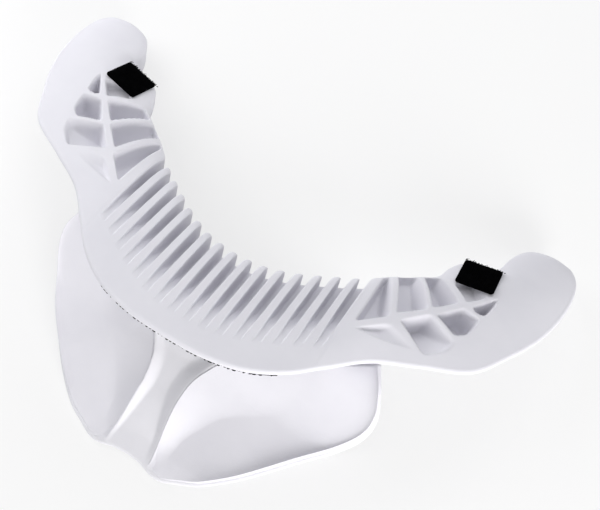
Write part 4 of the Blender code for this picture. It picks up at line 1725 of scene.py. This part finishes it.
@dataclass
class Studio:
    """Pale table, an even sky, soft lamps at the right, the left and the back, and the camera."""

    eye: tuple[float, float, float] = (0.0990037, -0.0934886, 0.4631394)
    right: tuple[float, float, float] = (0.8512981, 0.5246823, -0.0000531)
    up: tuple[float, float, float] = (-0.4977254, 0.8075926, 0.3163284)
    ahead: tuple[float, float, float] = (-0.1660148, 0.2692633, -0.9486498)
    lens: float = 54.0
    sensor: float = 36.0
    clip_start: float = 0.01
    table_size: float = 6.0
    table_grey: float = 0.86
    table_roughness: float = 0.8
    table_white: float = 0.632
    sky: float = 0.40
    sky_colour: tuple[float, float, float, float] = (0.985, 0.99, 1.0, 1.0)
    # name, place, power, size, colour
    lamps: tuple[tuple[str, tuple[float, ...], float, float, tuple[float, ...]], ...] = (
        ("key", (0.75, -0.55, 0.35), 8.6, 0.45, (1.0, 0.99, 0.98)),
        ("side", (-0.45, 0.10, 0.30), 1.6, 0.45, (0.99, 0.99, 1.0)),
        ("back", (0.0, 0.60, 0.50), 1.3, 0.45, (0.97, 0.98, 1.0)),
    )

    def place_camera(self) -> None:
        """Stand the camera where the photograph was taken, by its right, up and ahead directions."""
        data = bpy.data.cameras.new("camera")
        data.sensor_width = self.sensor
        data.lens = self.lens
        data.clip_start = self.clip_start
        camera = bpy.data.objects.new("camera", data)
        axes = np.column_stack([self.right, self.up, -np.array(self.ahead), self.eye])
        camera.matrix_world = Matrix(np.vstack([axes, (0.0, 0.0, 0.0, 1.0)]).tolist())
        bpy.context.scene.collection.objects.link(camera)
        bpy.context.scene.camera = camera

    def seen(self, tree: bpy.types.NodeTree) -> bpy.types.NodeSocket:
        """Value that is 1 where the camera, a reflection or a refraction looks, and 0 for light.

        Args:
            tree: Node tree to add to.

        Returns:
            The value's socket.
        """
        path = tree.nodes.new("ShaderNodeLightPath")
        total = path.outputs["Is Camera Ray"]
        for name in ("Is Glossy Ray", "Is Transmission Ray"):
            join = tree.nodes.new("ShaderNodeMath")
            join.operation = "MAXIMUM"
            tree.links.new(total, join.inputs[0])
            tree.links.new(path.outputs[name], join.inputs[1])
            total = join.outputs["Value"]
        return total

    def lay_table(self) -> None:
        """Lay a pale table that the camera sees nearly white, with the padding's shadow on it."""
        half = 0.5 * self.table_size
        mesh = bpy.data.meshes.new("table")
        corners = [(-half, -half, 0.0), (half, -half, 0.0), (half, half, 0.0), (-half, half, 0.0)]
        mesh.from_pydata(corners, [], [(0, 1, 2, 3)])
        table = bpy.data.objects.new("table", mesh)
        bpy.context.scene.collection.objects.link(table)
        bench = NodeBench("table_white")
        bench.shader.inputs["Base Color"].default_value = (*[self.table_grey] * 3, 1.0)
        bench.shader.inputs["Roughness"].default_value = self.table_roughness
        bench.shader.inputs["Specular IOR Level"].default_value = 0.0
        glow = bench.node("ShaderNodeEmission", Strength=1.0)
        mix = bench.node("ShaderNodeMixShader")
        share = bench.node("ShaderNodeMath", operation="MULTIPLY")
        share.inputs[1].default_value = self.table_white
        bench.join(self.seen(bench.tree), share.inputs[0])
        bench.join(share.outputs["Value"], mix.inputs["Fac"])
        bench.join(bench.shader.outputs["BSDF"], mix.inputs[1])
        bench.join(glow.outputs["Emission"], mix.inputs[2])
        bench.join(mix.outputs["Shader"], bench.tree.nodes["Material Output"].inputs["Surface"])
        mesh.materials.append(bench.material)

    def light(self) -> None:
        """Light the room evenly and set its soft lamps."""
        world = bpy.data.worlds.new("room")
        bpy.context.scene.world = world
        world.use_nodes = True
        tree = world.node_tree
        sky = tree.nodes["Background"]
        sky.inputs["Color"].default_value = self.sky_colour
        sky.inputs["Strength"].default_value = self.sky
        white = tree.nodes.new("ShaderNodeBackground")
        mix = tree.nodes.new("ShaderNodeMixShader")
        tree.links.new(self.seen(tree), mix.inputs["Fac"])
        tree.links.new(sky.outputs["Background"], mix.inputs[1])
        tree.links.new(white.outputs["Background"], mix.inputs[2])
        tree.links.new(mix.outputs["Shader"], tree.nodes["World Output"].inputs["Surface"])
        white.inputs["Color"].default_value = (1.0, 1.0, 1.0, 1.0)
        for name, place, power, size, colour in self.lamps:
            lamp = bpy.data.lights.new(name, "AREA")
            lamp.energy = power
            lamp.size = size
            lamp.color = colour
            stand = bpy.data.objects.new(name, lamp)
            stand.location = place
            stand.rotation_euler = Vector(place).to_track_quat("Z", "Y").to_euler()
            bpy.context.scene.collection.objects.link(stand)
        bpy.context.scene.view_settings.view_transform = "Standard"


def main() -> None:
    """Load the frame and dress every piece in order."""
    logging.basicConfig(level=logging.INFO, format="%(name)s: %(message)s")
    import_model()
    studio = Studio()
    studio.place_camera()
    studio.lay_table()
    studio.light()
    stance = Stance()
    seat = TabSeat()
    pad = CollarPad(stance, seat)
    liner = CollarLiner(pad)
    tape = SeamTape(pad, liner)
    bib = ChestBib(pad, liner, tape)
    pad.dress()
    liner.dress()
    for side in Side:
        HookTab(stance, seat, side).dress()
    tape.dress_hooks()
    tape.dress_loops()
    bib.dress_sheet()
    for side in Side:
        bib.dress_lobe(side)


if __name__ == "__main__":
    main()
